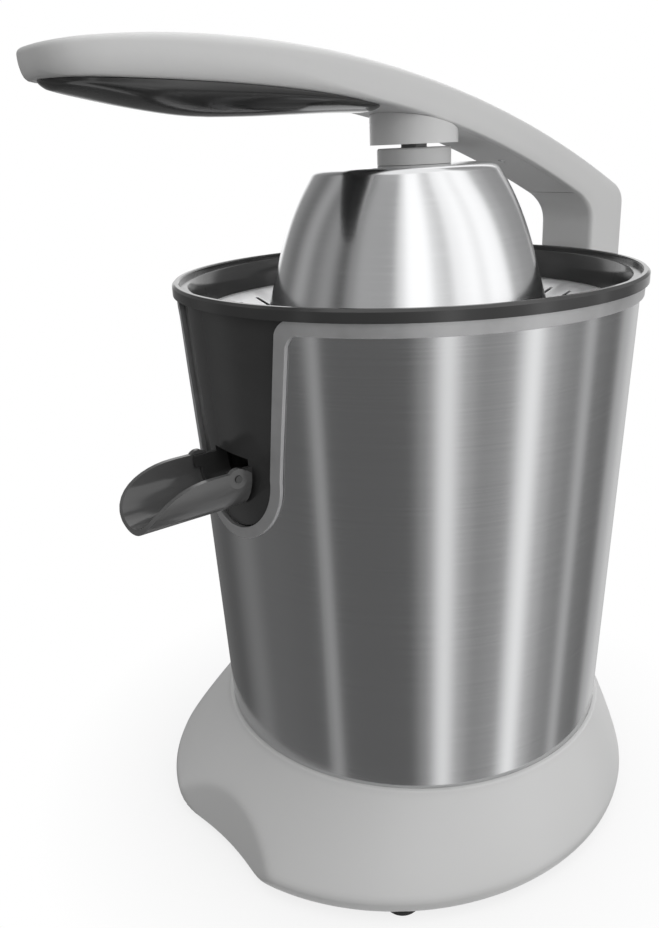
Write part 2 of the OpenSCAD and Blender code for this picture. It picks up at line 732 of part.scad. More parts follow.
// Helical spring under the shaft's collar
spring_wire = 0.9;
spring_r = bush_r - spring_wire;
spring_turns = 3.5;
spring_step = 12;
spring_sides = 6;
spring_low_z = case_floor_z + spring_wire / 2;
spring_len = collar_z - case_floor_z - spring_wire;
spring_rings = spring_turns * 360 / spring_step;
function spring_point(i, j) = let (
        a = i * spring_step,
        b = 360 * j / spring_sides,
        q = spring_r + spring_wire / 2 * cos(b))
    [q * cos(a), q * sin(a), spring_low_z + spring_len * i / spring_rings + spring_wire / 2 * sin(b)];
module return_spring() {
    last = spring_rings * spring_sides;
    color("silver") polyhedron(
        points = [for (i = [0 : spring_rings], j = [0 : spring_sides - 1]) spring_point(i, j)],
        faces = concat(
            [[for (j = [0 : spring_sides - 1]) j]],
            [[for (j = [spring_sides - 1 : -1 : 0]) last + j]],
            [for (i = [0 : spring_rings - 1], j = [0 : spring_sides - 1]) let (
                k = (j + 1) % spring_sides, p = i * spring_sides, q = p + spring_sides)
                each [[p + j, q + j, q + k], [p + j, q + k, p + k]]]));
}
// Switch under the shaft
plunger_r = 2.2;
plunger_l = 5;
plunger_top_z = shaft_low_z - play;
switch_h = 8;
switch_top_z = plunger_top_z - press_travel - over;
switch_x = 16;
switch_y = 20;
switch_arm_t = 2;
module switch_body() {
    color("#222222") difference() {
        union() {
            translate([-switch_x / 2, -switch_y, switch_top_z - switch_h])
                cube([switch_x, switch_y + 2 * plunger_r, switch_h]);
            for (s = [-1, 1]) translate([s * (switch_x - switch_arm_t) / 2 - switch_arm_t / 2,
                -switch_y, switch_top_z - over])
                cube([switch_arm_t, switch_arm_t * 2, case_z - switch_top_z + over]);
        }
        translate([0, 0, switch_top_z - press_travel - plunger_l])
            cylinder(r = plunger_r + fit, h = 2 * switch_h);
    }
}
module switch_plunger() {
    color("firebrick") translate([0, 0, plunger_top_z - plunger_l]) cylinder(r = plunger_r, h = plunger_l);
}

// Bowl
shelf_z = rim_top_z - rim_step;
strainer_r = bowl_r(strainer_z) - bowl_wall - play;
panel_back = 1;
panel_inset = 0.5;
floor_t = 2.5;
nozzle_r = spout_r - spout_wall - 2 * skin - fit;
nozzle_wall = 2;
nozzle_end = 2.4;
seal_h = 5;
seat_w = 1.6;
module bowl_profile() {
    polygon([[bowl_r(frame_top_z), frame_top_z], [bowl_r(rim_low_z), rim_low_z], [rim_r, rim_low_z],
        [rim_r, rim_top_z - over], [rim_r - over, rim_top_z], [rim_r - rim_bead_w + over / 2, rim_top_z],
        [rim_r - rim_bead_w, rim_top_z - over / 2], [rim_r - rim_bead_w, shelf_z],
            [rim_lip_r + over / 2, shelf_z],
        [rim_lip_r, shelf_z - over / 2], [bowl_r(strainer_z) - bowl_wall, strainer_z],
        [bowl_r(strainer_z) - bowl_wall - seat_w, strainer_z],
        [bowl_r(strainer_z) - bowl_wall - seat_w, strainer_z - 2 * seat_w],
        [bowl_r(strainer_z - 4 * seat_w) - bowl_wall, strainer_z - 4 * seat_w],
        [bowl_r(frame_top_z) - bowl_wall, frame_top_z]]);
}
outlet_h = 5;
outlet_top_z = spout_z + outlet_h;
module juice_bowl() {
    inner = nozzle_r - nozzle_wall;
    color("#2e2e2e") difference() {
        union() {
            difference() {
                rotate_extrude() bowl_profile();
                // Mouth of the outlet, cut through the wall behind the panel
                intersection() {
                    translate([-inner, -rim_r, bowl_floor_z])
                        cube([2 * inner, rim_r, outlet_top_z - bowl_floor_z]);
                    outlet_mouth(inner);
                }
            }
            // Floor that falls towards the outlet
            difference() {
                intersection() {
                    translate([0, 0, frame_top_z]) cylinder(r1 = bowl_r(frame_top_z) - bowl_wall / 2,
                        r2 = bowl_r(strainer_z) - bowl_wall / 2, h = strainer_z - frame_top_z);
                    floor_slab();
                }
                translate([0, 0, frame_top_z]) cylinder(r = tube_r - over, h = tube_top_z);
            }
            translate([0, 0, frame_top_z]) cylinder(r = tube_r, h = tube_top_z - frame_top_z);
            // Raised panel that fills the casing's window
            difference() {
                intersection() {
                    difference() {
                        casing_cone(window_low_z, rim_low_z + skin, -play);
                        casing_cone(window_low_z - over, rim_low_z + over,
                            -casing_wall - bowl_gap - panel_back);
                    }
                    from_front(2 * rim_r) window_outline(-panel_inset, window_flare_r, casing_top_z + over);
                }
                outlet_mouth(inner);
            }
            // Half-round nozzle with the pins that the spout hangs on
            difference() {
                intersection() {
                    translate([-nozzle_r, -spout_hinge_y - nozzle_end, spout_z - nozzle_r])
                        cube([2 * nozzle_r, spout_hinge_y + nozzle_end - bowl_r(spout_z) + bowl_wall,
                            nozzle_r + nozzle_end]);
                    union() {
                        nozzle_bar(nozzle_r);
                        translate([-nozzle_r, -rim_r - spout_reach, spout_z])
                            cube([2 * nozzle_r, 2 * spout_reach, nozzle_end]);
                    }
                }
                outlet_mouth(inner);
                nozzle_relief();
            }
            for (s = [-1, 1]) translate([s * (nozzle_r + spout_r) / 2 + s * skin, -spout_hinge_y, spout_z])
                rotate([0, 90, 0]) cylinder(r = spout_pin_r, h = spout_r - nozzle_r + spout_wall / 2,
                    center = true);
        }
        translate([0, 0, frame_top_z - over]) cylinder(r = shaft_r + nozzle_wall / 2, h = tube_top_z);
        translate([0, 0, tube_top_z - seal_h]) cylinder(r = tube_r - bowl_wall, h = seal_h + over);
    }
}
// A lying round bar along Y at the spout's centre line
module nozzle_bar(r) {
    translate([0, -spout_reach, spout_z]) rotate([-90, 0, 0]) cylinder(r = r, h = spout_reach - tube_r * 2);
}
// The channel: half-round below the centre line, square up to the outlet's top
module outlet_mouth(r) {
    difference() {
        nozzle_bar(r);
        translate([-2 * r, -2 * spout_reach, outlet_top_z]) cube([4 * r, 2 * spout_reach, 2 * r]);
    }
    translate([-r, -spout_reach, spout_z]) cube([2 * r, spout_reach - bowl_r(spout_z) + 3 * bowl_wall,
        outlet_top_z - spout_z]);
}
// Only the eyes of the hinge pins reach past the hinge line
module nozzle_relief() {
    translate([-spout_r, -spout_hinge_y - spout_r, spout_z - 2 * spout_r])
        cube([2 * spout_r, spout_r, 2 * spout_r - nozzle_end]);
}
module floor_slab() {
    low_y = bowl_r(bowl_floor_z);
    translate([0, -low_y, bowl_floor_z - floor_t]) rotate([bowl_slope, 0, 0])
        translate([-rim_r, -over * 5, 0]) cube([2 * rim_r, 2 * rim_r, floor_t]);
}
module shaft_seal() {
    color("#1c1c1c") translate([0, 0, tube_top_z - seal_h]) ring(tube_r - bowl_wall - fit,
        shaft_r + fit, seal_h - over);
}

// Strainer: a dished sheet with a ring of slots
slot_in_r = 49;
slot_out_r = 82;
strainer_rim_w = 4;
module strainer() {
    color("gainsboro") difference() {
        rotate_extrude() polygon([[tube_r + over, strainer_low_z], [strainer_flat_r, strainer_low_z],
            [strainer_r - strainer_rim_w, strainer_z], [strainer_r, strainer_z], [strainer_r,
                strainer_z + strainer_wall],
            [strainer_r - strainer_rim_w, strainer_z + strainer_wall], [strainer_flat_r,
                strainer_low_z + strainer_wall],
            [tube_r + over, strainer_low_z + strainer_wall]]);
        for (i = [0 : strainer_slots - 1]) rotate([0, 0, 360 * i / strainer_slots])
            translate([slot_in_r, -strainer_slot_w / 2, strainer_low_z - over])
                cube([slot_out_r - slot_in_r, strainer_slot_w, strainer_z - strainer_low_z + 2 * over]);
    }
}

// Reamer cone on the head of the drive shaft
cone_wall = 2.5;
rib_t = 2.4;
rib_out = 3.2;
cone_steps = 16;
cone_arc = 74;
function cone_side(grow) = [for (i = [0 : cone_steps]) let (a = 90 - cone_arc + cone_arc * i / cone_steps)
    [max(0, (cone_r - rib_out + grow) * (cos(a) / cos(90 - cone_arc))),
     cone_z + cone_wall + (cone_top_z - cone_z - cone_wall - rib_out + grow)
        * (sin(a) - sin(90 - cone_arc)) / (1 - sin(90 - cone_arc))]];
module reamer_cone() {
    color("#303030") difference() {
        union() {
            rotate_extrude() polygon(concat([[0, cone_z + cone_wall]], cone_side(0)));
            translate([0, 0, cone_z]) cylinder(r = cone_r, h = cone_wall);
            for (i = [0 : cone_ribs - 1]) rotate([90, 0, 360 * i / cone_ribs]) translate([0, 0, -rib_t / 2])
                linear_extrude(rib_t) polygon(concat([[0, cone_z + cone_wall]], cone_side(rib_out)));
        }
        // Hollow under the cone, open at the bottom
        translate([0, 0, cone_z - over]) cylinder(r1 = cone_r - rib_out - 2 * cone_wall,
            r2 = shaft_r + 2 * cone_wall,
            h = cone_seat_z - cone_z + over - cone_wall);
        translate([0, 0, cone_z]) cylinder(r = shaft_r + fit, h = cone_seat_z - cone_z);
        translate([0, 0, cone_seat_z - skin]) cylinder(r = shaft_r + fit,
            h = hex_top_z - cone_seat_z + 2 * skin, $fn = 6);
    }
}

// Spout: a half-round channel with a curved tip
spout_root_y = casing_r(spout_z) + play;
spout_cut_steps = 12;
spout_root_r = spout_hinge_y - casing_r(spout_z) - play;
ear_r = 4;
module spout_side_outline() {
    low = spout_z - spout_r;
    high = spout_z + spout_side;
    polygon(concat(
        [[spout_root_y, low], [spout_root_y, spout_z - ear_r], [spout_hinge_y - spout_root_r,
            spout_z - ear_r / 2],
         [spout_hinge_y - spout_root_r, spout_z + ear_r / 4], [spout_hinge_y - ear_r, high],
         [spout_reach - spout_cut, high]],
        [for (i = [1 : spout_cut_steps]) let (a = 90 - 90 * i / spout_cut_steps)
            [spout_reach - spout_cut + spout_cut * cos(a), low + (high - low) * sin(a)]]));
}
module drip_spout() {
    color("#3a3a3a") difference() {
        union() {
            intersection() {
                union() {
                    nozzle_bar(spout_r);
                    translate([-spout_r, -2 * spout_reach, spout_z])
                        cube([2 * spout_r, 2 * spout_reach, spout_side]);
                }
                from_side(2 * spout_r) spout_side_outline();
            }
            for (s = [-1, 1]) translate([s * (spout_r - spout_wall / 2), -spout_hinge_y, spout_z])
                rotate([0, 90, 0]) cylinder(r = ear_r, h = spout_wall, center = true);
        }
        nozzle_bar(spout_r - spout_wall);
        translate([-spout_r + spout_wall, -2 * spout_reach, spout_z])
            cube([2 * (spout_r - spout_wall), 2 * spout_reach, 2 * ear_r]);
        translate([0, -spout_hinge_y, spout_z]) rotate([0, 90, 0])
            cylinder(r = spout_pin_r + fit, h = 3 * spout_r, center = true);
    }
}

// Hinge at the back
cheek_t = 5;
web_out_y = hinge_y - post_r - over;
bracket_drop = 18;
bracket_low_z = hinge_z - bracket_drop;
bracket_high_z = casing_top_z - trim_band_h - over;
bracket_half = lever_hinge_w / 2 + play + cheek_t;
bracket_screw_r = 2;
bracket_screw_x = 10;
bracket_screw_drop = 10;
bracket_screw_rise = 6;
bracket_screw_low_z = hinge_z - bracket_screw_drop;
bracket_screw_high_z = hinge_z + bracket_screw_rise;
bracket_screw_rows = [bracket_screw_low_z, bracket_screw_high_z];
backing_t = bowl_gap - casing_wall;
module at_bracket_screws(r) {
    for (x = [-bracket_screw_x, bracket_screw_x], z = bracket_screw_rows)
        translate([x, casing_in_r(z) - 2 * backing_t, z]) rotate([-90, 0, 0])
            cylinder(r = r, h = web_out_y - casing_in_r(z));
}
module hinge_bracket() {
    color("whitesmoke") difference() {
        union() {
            translate([-bracket_half, casing_low_r / 2, bracket_low_z])
                cube([2 * bracket_half, web_out_y - casing_low_r / 2, bracket_high_z - bracket_low_z]);
            for (s = [-1, 1]) translate([s * (bracket_half - cheek_t / 2), 0, 0]) {
                translate([0, hinge_y, hinge_z]) rotate([0, 90, 0])
                    cylinder(r = post_r, h = cheek_t, center = true);
                translate([-cheek_t / 2, web_out_y - over, hinge_z - post_r])
                    cube([cheek_t, hinge_y - web_out_y + over, 2 * post_r]);
            }
        }
        casing_cone(casing_low_z, casing_top_z + over, skin);
        translate([0, hinge_y, hinge_z]) rotate([0, 90, 0]) cylinder(r = hinge_pin_r,
            h = 3 * bracket_half, center = true);
        at_bracket_screws(bracket_screw_r - fit);
    }
}
module backing_plate() {
    color("silver") difference() {
        intersection() {
            difference() {
                casing_cone(bracket_low_z, bracket_high_z, -casing_wall - 3 * skin);
                casing_cone(bracket_low_z - over, bracket_high_z + over, -casing_wall - backing_t);
            }
            translate([-bracket_half, 0, bracket_low_z]) cube([2 * bracket_half, rim_r,
                bracket_high_z - bracket_low_z]);
        }
        at_bracket_screws(bracket_screw_r + fit);
    }
}
// The screws start in the backing plate, just clear of the bowl
module bracket_screws() {
    color("gray") for (x = [-bracket_screw_x, bracket_screw_x], z = bracket_screw_rows) {
        start_y = play
            + sqrt(pow(bowl_r(z + bracket_screw_r), 2) - pow(bracket_screw_x - bracket_screw_r, 2));
        translate([x, start_y, z]) rotate([-90, 0, 0])
            cylinder(r = bracket_screw_r - 2 * fit, h = web_out_y - 2 * backing_t - play - start_y);
    }
}
pin_head_t = 1.6;
module hinge_pin() {
    color("silver") translate([0, hinge_y, hinge_z]) rotate([0, 90, 0]) {
        cylinder(r = hinge_pin_r - fit / 2, h = 2 * bracket_half + 2 * skin, center = true);
        for (s = [-1, 1]) translate([0, 0, s * (bracket_half + skin + pin_head_t / 2)])
            cylinder(r = hinge_pin_r + over, h = pin_head_t, center = true);
    }
}

// Lever: its side is drawn with x as the distance to the front and y up.
// Upper and lower edge are cubic curves; their guide points are given as steps from the ends.
shoulder_in = 6.4;
shoulder_y = hinge_y + post_r - shoulder_in;
shoulder_over = 33;
shoulder_z = casing_top_z + shoulder_over;
post_in_y = hinge_y - post_r;
armpit_in = 10;
armpit_y = post_in_y - armpit_in;
armpit_over = 29.4;
armpit_z = casing_top_z + armpit_over;
lever_steps = 20;
tip_top_run = 95.4;
tip_top_rise = 13.2;
shoulder_run = 85.6;
shoulder_rise = 43.2;
tip_low_run = 97.8;
tip_low_drop = 1.8;
armpit_run = 92.5;
armpit_rise = 44.7;
top_guides = [[lever_reach, lever_tip_z], [lever_reach - tip_top_run, lever_tip_z + tip_top_rise],
    [-shoulder_y + shoulder_run, shoulder_z + shoulder_rise], [-shoulder_y, shoulder_z]];
low_guides = [[lever_reach, lever_tip_z - lever_tip_d],
    [lever_reach - tip_low_run, lever_tip_z - lever_tip_d - tip_low_drop],
    [-armpit_y + armpit_run, armpit_z + armpit_rise], [-armpit_y, armpit_z]];
top_edge = curve(top_guides, lever_steps);
low_edge = curve(low_guides, lever_steps);
// Round corners between curve and upright, in shares of the upright's half depth
shoulder_shares = [0.268, 0.173, 0.362, 0.709];
armpit_shares = [0.394, 0.236, 0.591, 1.102];
shoulder_guides = [[-shoulder_y, shoulder_z],
    [-shoulder_y - post_r * shoulder_shares[0], shoulder_z - post_r * shoulder_shares[1]],
    [-hinge_y - post_r, shoulder_z - post_r * shoulder_shares[2]],
    [-hinge_y - post_r, shoulder_z - post_r * shoulder_shares[3]]];
armpit_guides = [[-armpit_y, armpit_z],
    [-armpit_y - post_r * armpit_shares[0], armpit_z - post_r * armpit_shares[1]],
    [-post_in_y, armpit_z - post_r * armpit_shares[2]],
    [-post_in_y, armpit_z - post_r * armpit_shares[3]]];
corner_steps = 5;
module lever_side() {
    polygon(concat(top_edge, curve(shoulder_guides, corner_steps), [[-hinge_y - post_r, hinge_z]],
        [[-post_in_y, hinge_z]], flip(curve(armpit_guides, corner_steps)), flip(low_edge)));
}
// Plan of the lever: wide and round at the grip, narrow at the hinge
lever_tip_r = lever_grip_w / 2;
module lever_plan(inset) {
    translate([lever_reach - lever_tip_r, 0]) circle(r = lever_tip_r - inset);
    polygon([[lever_reach - lever_tip_r, lever_tip_r - inset], [lever_reach - lever_tip_r,
        inset - lever_tip_r],
        [-hinge_y, inset - lever_hinge_w / 2], [-hinge_y - 2 * post_r, inset - lever_hinge_w / 2],
        [-hinge_y - 2 * post_r, lever_hinge_w / 2 - inset], [-hinge_y, lever_hinge_w / 2 - inset]]);
}
module lever_block(inset) {
    intersection() {
        from_side(2 * lever_grip_w) children();
        translate([0, 0, hinge_z - 2 * post_r]) linear_extrude(lever_tip_z)
            rotate([0, 0, -90]) lever_plan(inset);
    }
}
// Inside of the hollow lever: the side outline drawn in by the wall
cavity_front = lever_reach - 2 * lever_tip_r;
cavity_room = 12;
cavity_back = post_in_y - cavity_room;
cavity_steps = 14;
function cavity_y(i) = cavity_front - (cavity_front + cavity_back) * i / cavity_steps;
// The curve's point at a given distance to the front, by halving
function curve_at(g, x, lo = 0, hi = 1, n = 16) = n == 0 ? curve_point(g, (lo + hi) / 2)[1] :
    let (mid = (lo + hi) / 2) curve_point(g, mid)[0] > x ? curve_at(g, x, mid, hi, n - 1)
        : curve_at(g, x, lo, mid, n - 1);
cover_t = 2;
cavity_top = [for (i = [0 : cavity_steps]) [cavity_y(i), curve_at(top_guides, cavity_y(i)) - lever_wall]];
cavity_low = [for (i = [0 : cavity_steps]) [cavity_y(i), curve_at(low_guides, cavity_y(i))]];
cover_top = [for (p = cavity_low) [p[0], p[1] + cover_t]];
drop = 20;
module cavity_side() {
    polygon(concat(cavity_top, flip([for (p = cavity_low) [p[0], p[1] - drop]])));
}
module lever_arm() {
    color("whitesmoke") difference() {
        union() {
            lever_block(0) lever_side();
            intersection() {
                translate([0, hinge_y, hinge_z]) rotate([0, 90, 0])
                    cylinder(r = post_r, h = lever_hinge_w, center = true);
                translate([-lever_hinge_w / 2, 0, 0]) cube([lever_hinge_w, 2 * hinge_y, lever_tip_z]);
            }
        }
        difference() {
            lever_block(lever_wall) cavity_side();
            lever_screw_posts();
        }
        for (y = lever_screw_places) translate([0, -y, 0])
            cylinder(r = lever_screw_r + fit, h = curve_at(top_guides, y) - lever_wall);
        translate([0, hinge_y, hinge_z]) rotate([0, 90, 0]) cylinder(r = hinge_pin_r + fit,
            h = 2 * lever_grip_w, center = true);
    }
}
// Posts inside the lever that the cover is screwed to
module lever_screw_posts() {
    for (y = lever_screw_places) translate([0, -y, curve_at(low_guides, y) + cover_t + 2 * over])
        cylinder(r = 2 * lever_screw_r + over, h = lever_tip_z);
}
module lever_cover() {
    color("gainsboro") difference() {
        intersection() {
            lever_block(lever_wall + skin) polygon(concat(cover_top, flip(cavity_low)));
            translate([-lever_grip_w, -cavity_front + skin, 0])
                cube([2 * lever_grip_w, cavity_front + cavity_back - 2 * skin, 2 * lever_tip_z]);
        }
        at_lever_screws() cylinder(r = lever_screw_r + fit, h = 2 * lever_tip_z);
    }
}
lever_screw_r = 1.6;
lever_screw_shares = [0.583, 0.291, -0.384];
lever_screw_places = [for (s = lever_screw_shares) lever_reach * s];
module at_lever_screws() {
    for (y = lever_screw_places) translate([0, -y, 0]) children();
}
module lever_screws() {
    color("gray") for (y = lever_screw_places) {
        z = curve_at(low_guides, y);
        translate([0, -y, z + skin]) cylinder(r = lever_screw_r, h = curve_at(top_guides,
            y) - lever_wall - z - 2 * skin);
    }
}
// Boss under the lever, with a slot for the hub's tongue
tongue_t = 9;
tongue_w = 6.4;
// Wall that closes the pin's bore on the right
pin_cap = 2;
module press_boss() {
    color("whitesmoke") difference() {
        translate([0, hub_y, boss_z]) cylinder(r = boss_r, h = lever_tip_z - boss_z);
        from_side(4 * boss_r) polygon(concat([[lever_reach, 2 * lever_tip_z], [-hinge_y, 2 * lever_tip_z]],
            [for (p = flip(low_edge)) [p[0], p[1] - skin]]));
        // Slot and bore
        translate([-tongue_t / 2 - play, hub_y - tongue_w / 2 - 3 * over, boss_z - over])
            cube([tongue_t + 2 * play, tongue_w + 6 * over, dome_pin_z - boss_z + over]);
        translate([0, hub_y, dome_pin_z]) rotate([0, 90, 0])
            cylinder(r = tongue_w / 2 + 2 * over, h = tongue_t + 2 * play, center = true);
        translate([-2 * boss_r, hub_y, dome_pin_z]) rotate([0, 90, 0])
            cylinder(r = dome_pin_r, h = 3 * boss_r - pin_cap);
    }
}
module dome_pin() {
    color("silver") translate([2 * over - boss_r, hub_y, dome_pin_z]) rotate([0, 90, 0])
        cylinder(r = dome_pin_r - fit / 2, h = 2 * boss_r - pin_cap - 3 * over);
}
hub_top_drop = 0.6;
stud_r = 5;
nut_h = 4;
module dome_hub() {
    z0 = dome_top_z + skin;
    color("lightgray") translate([0, hub_y, 0]) difference() {
        union() {
            translate([0, 0, z0]) cylinder(r = hub_r, h = hub_h - hub_top_drop);
            translate([0, 0, z0 + hub_h - hub_top_drop]) cylinder(r1 = hub_r,
                r2 = hub_r - hub_top_drop, h = hub_top_drop);
            intersection() {
                translate([-tongue_t / 2, -tongue_w / 2, z0]) cube([tongue_t, tongue_w, dome_pin_z - z0]);
                translate([0, 0, z0]) cylinder(r = tongue_w, h = dome_pin_z);
            }
            translate([0, 0, dome_pin_z]) rotate([0, 90, 0])
                cylinder(r = tongue_w / 2, h = tongue_t, center = true);
            translate([0, 0, z0 - dome_wall - liner_wall - nut_h - 2 * skin])
                cylinder(r = stud_r, h = dome_wall + liner_wall + nut_h + 3 * skin);
        }
        translate([0, 0, dome_pin_z]) rotate([0, 90, 0]) cylinder(r = dome_pin_r + fit, h = 2 * hub_r,
            center = true);
    }
}
// Dome: the side bulges outwards as an arc; the share runs from the lower edge to the top
dome_steps = 14;
bulge_low_share = 0.4;
bulge_all_share = 1.1;
function dome_side(inset) = [for (i = [0 : dome_steps]) let (t = i / dome_steps)
    [dome_low_r - inset - (dome_low_r - dome_top_r) * t
         + 4 * dome_bulge * t * (1 - t) * (bulge_low_share + t) / bulge_all_share,
     dome_low_z + (dome_top_z - dome_corner - dome_low_z) * t]];
module dome_body(inset, top) {
    side = dome_side(inset);
    last = side[len(side) - 1];
    polygon(concat([[0, dome_low_z - over]], [[side[0][0], dome_low_z - over]], side,
        [for (i = [1 : 4]) let (a = 90 * i / 4) [last[0] - dome_corner * (1 - cos(a)),
            top - dome_corner * (1 - sin(a))]],
        [[0, top]]));
}
module dome_shell() {
    color("silver") difference() {
        rotate_extrude() intersection() {
            dome_body(0, dome_top_z);
            translate([0, dome_low_z]) square([2 * dome_low_r, dome_top_z]);
        }
        rotate_extrude() dome_body(dome_wall, dome_top_z - dome_wall);
        translate([0, hub_y, dome_top_z - 2 * dome_wall]) cylinder(r = stud_r + fit, h = 3 * dome_wall);
    }
}
liner_lip = 1.2;
module dome_liner() {
    gap = dome_wall + skin;
    color("#2e2e2e") difference() {
        union() {
            rotate_extrude() intersection() {
                dome_body(gap, dome_top_z - gap);
                translate([0, dome_low_z - liner_lip]) square([2 * dome_low_r, dome_top_z]);
            }
            translate([0, 0, dome_low_z - liner_lip]) cylinder(r = dome_low_r + skin, h = liner_lip - skin);
        }
        rotate_extrude() dome_body(gap + liner_wall, dome_top_z - gap - liner_wall);
        translate([0, 0, dome_low_z - 2 * liner_lip]) cylinder(r = dome_low_r - gap - liner_wall,
            h = 3 * liner_lip);
        translate([0, hub_y, dome_top_z - gap - 2 * liner_wall])
            cylinder(r = stud_r + fit, h = 4 * liner_wall);
    }
}
module dome_nut() {
    color("silver") translate([0, hub_y,
        dome_top_z - dome_wall - liner_wall - nut_h - 2 * skin]) difference() {
        cylinder(r = 2 * stud_r, h = nut_h, $fn = 6);
        translate([0, 0, -over]) cylinder(r = stud_r + fit, h = nut_h + 2 * over);
    }
}
// Grip insert: cross sections that swell below the lever's underside and run out to a point
grip_sections = 7;
grip_tip_gap = 3.6;
grip_front = lever_reach - grip_tip_gap;
grip_back = 20;
grip_depth_shares = [0.12, 0.42, 0.78, 1, 0.92, 0.66, 0.34, 0.04];
grip_width_shares = [0.55, 0.86, 0.96, 1, 1, 0.98, 0.92, 0.8];
grip_place_shares = [0, 0.1, 0.24, 0.4, 0.55, 0.72, 0.87, 1];
grip_flat = 1;
grip_fn = 28;
module grip_section(i) {
    y = grip_front + (grip_back - grip_front) * grip_place_shares[i];
    w = (lever_grip_w - 2 * lever_wall) * grip_width_shares[i];
    d = grip_belly * grip_depth_shares[i] + grip_flat;
    translate([0, -y, curve_at(low_guides, y) - 2 * skin]) rotate([90, 0, 0]) linear_extrude(skin)
        intersection() {
            scale([w / 2, d]) circle(r = 1, $fn = grip_fn);
            translate([-w, -2 * d]) square([2 * w, 2 * d]);
        }
}
module grip_insert() {
    color("#262626") for (i = [0 : grip_sections - 1]) hull() {
        grip_section(i);
        grip_section(i + 1);
    }
}

// The juicer's axis stands behind the middle between the grip's tip and the back of the upright
axis_y = (lever_reach - hinge_y - post_r) / 2;
module placed() {
    translate([0, axis_y, 0]) children();
}
placed() base_housing();
placed() base_plate();
placed() rubber_feet();
placed() base_screws();
placed() cord_gland();
placed() steel_casing();
placed() casing_trim();
placed() chassis_frame();
placed() gear_case();
placed() chassis_screws();
placed() stator_core();
placed() stator_windings();
placed() motor_bracket();
placed() motor_screws();
placed() shaft_bushes();
placed() motor_rotor();
placed() idler_gear();
placed() idler_axle();
placed() output_gear();
placed() drive_shaft();
placed() return_spring();
placed() switch_body();
placed() switch_plunger();
placed() juice_bowl();
placed() shaft_seal();
placed() strainer();
placed() reamer_cone();
placed() drip_spout();
placed() hinge_bracket();
placed() backing_plate();
placed() bracket_screws();
placed() hinge_pin();
placed() lever_arm();
placed() lever_cover();
placed() grip_insert();
placed() press_boss();
placed() lever_screws();
placed() dome_pin();
placed() dome_hub();
placed() dome_shell();
placed() dome_liner();
placed() dome_nut();
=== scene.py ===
import math

import bmesh
import bpy
import numpy as np
from mathutils import Matrix, Vector


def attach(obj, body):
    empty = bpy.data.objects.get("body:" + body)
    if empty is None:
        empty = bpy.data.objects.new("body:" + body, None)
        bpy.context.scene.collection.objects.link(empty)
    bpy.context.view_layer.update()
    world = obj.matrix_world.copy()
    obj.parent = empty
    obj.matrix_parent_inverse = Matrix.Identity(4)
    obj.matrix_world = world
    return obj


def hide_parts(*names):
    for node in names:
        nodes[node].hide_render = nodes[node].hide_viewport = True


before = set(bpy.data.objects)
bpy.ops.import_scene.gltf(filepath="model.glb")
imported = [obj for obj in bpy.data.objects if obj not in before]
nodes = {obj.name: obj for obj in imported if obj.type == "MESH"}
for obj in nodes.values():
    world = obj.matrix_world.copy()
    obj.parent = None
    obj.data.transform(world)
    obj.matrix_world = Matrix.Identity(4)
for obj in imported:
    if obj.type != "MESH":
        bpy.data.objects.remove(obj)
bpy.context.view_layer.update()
mm = 0.001


# Steel casing
# A tapered sleeve of thin stainless sheet, brushed round and round, with a window cut for the spout.
# It stands in a groove of the base; its upper edge is covered by the grey trim.
class Val:
    """A value in a node tree. Sums and products with numbers or other values add math nodes."""

    def __init__(self, tree, socket):
        self.tree = tree
        self.socket = socket

    def math(self, operation, *values):
        node = self.tree.nodes.new("ShaderNodeMath")
        node.operation = operation
        for socket, value in zip(node.inputs, values):
            feed(self.tree, socket, value)
        return Val(self.tree, node.outputs[0])

    def __add__(self, other):
        return self.math("ADD", self, other)

    def __radd__(self, other):
        return self.math("ADD", other, self)

    def __sub__(self, other):
        return self.math("SUBTRACT", self, other)

    def __rsub__(self, other):
        return self.math("SUBTRACT", other, self)

    def __mul__(self, other):
        return self.math("MULTIPLY", self, other)

    def __rmul__(self, other):
        return self.math("MULTIPLY", other, self)

    def __truediv__(self, other):
        return self.math("DIVIDE", self, other)

    def __rtruediv__(self, other):
        return self.math("DIVIDE", other, self)

    def most(self, other):
        return self.math("MAXIMUM", self, other)

    def between(self, low, high):
        return self.math("MINIMUM", self.most(low), high)


def feed(tree, socket, value):
    """Links a value into a socket, or sets the socket to a plain number or tuple."""
    if isinstance(value, Val):
        tree.links.new(value.socket, socket)
    else:
        socket.default_value = value


def grey(level):
    return (level, level, level, 1.0)


class Nodes:
    """A node tree with its output node; node() adds any other node to it."""

    def __init__(self, tree, output):
        self.tree = tree
        tree.nodes.clear()
        self.output = tree.nodes.new("ShaderNode" + output)

    def node(self, kind, settings=None, inputs=None, output=0, stops=()):
        """Sets the node's settings first, or its colour ramp's, then the ramp's stops and the sockets."""
        node = self.tree.nodes.new("ShaderNode" + kind)
        owner = node.color_ramp if stops else node
        for name, value in (settings or {}).items():
            setattr(owner, name, value)
        for i, (position, level) in enumerate(stops):
            stop = owner.elements[i] if i < 2 else owner.elements.new(1.0)
            stop.position = position
            stop.color = grey(level)
        for name, value in (inputs or {}).items():
            feed(self.tree, node.inputs[name], value)
        return Val(self.tree, node.outputs[output])

    def show(self, shader):
        feed(self.tree, self.output.inputs["Surface"], shader)


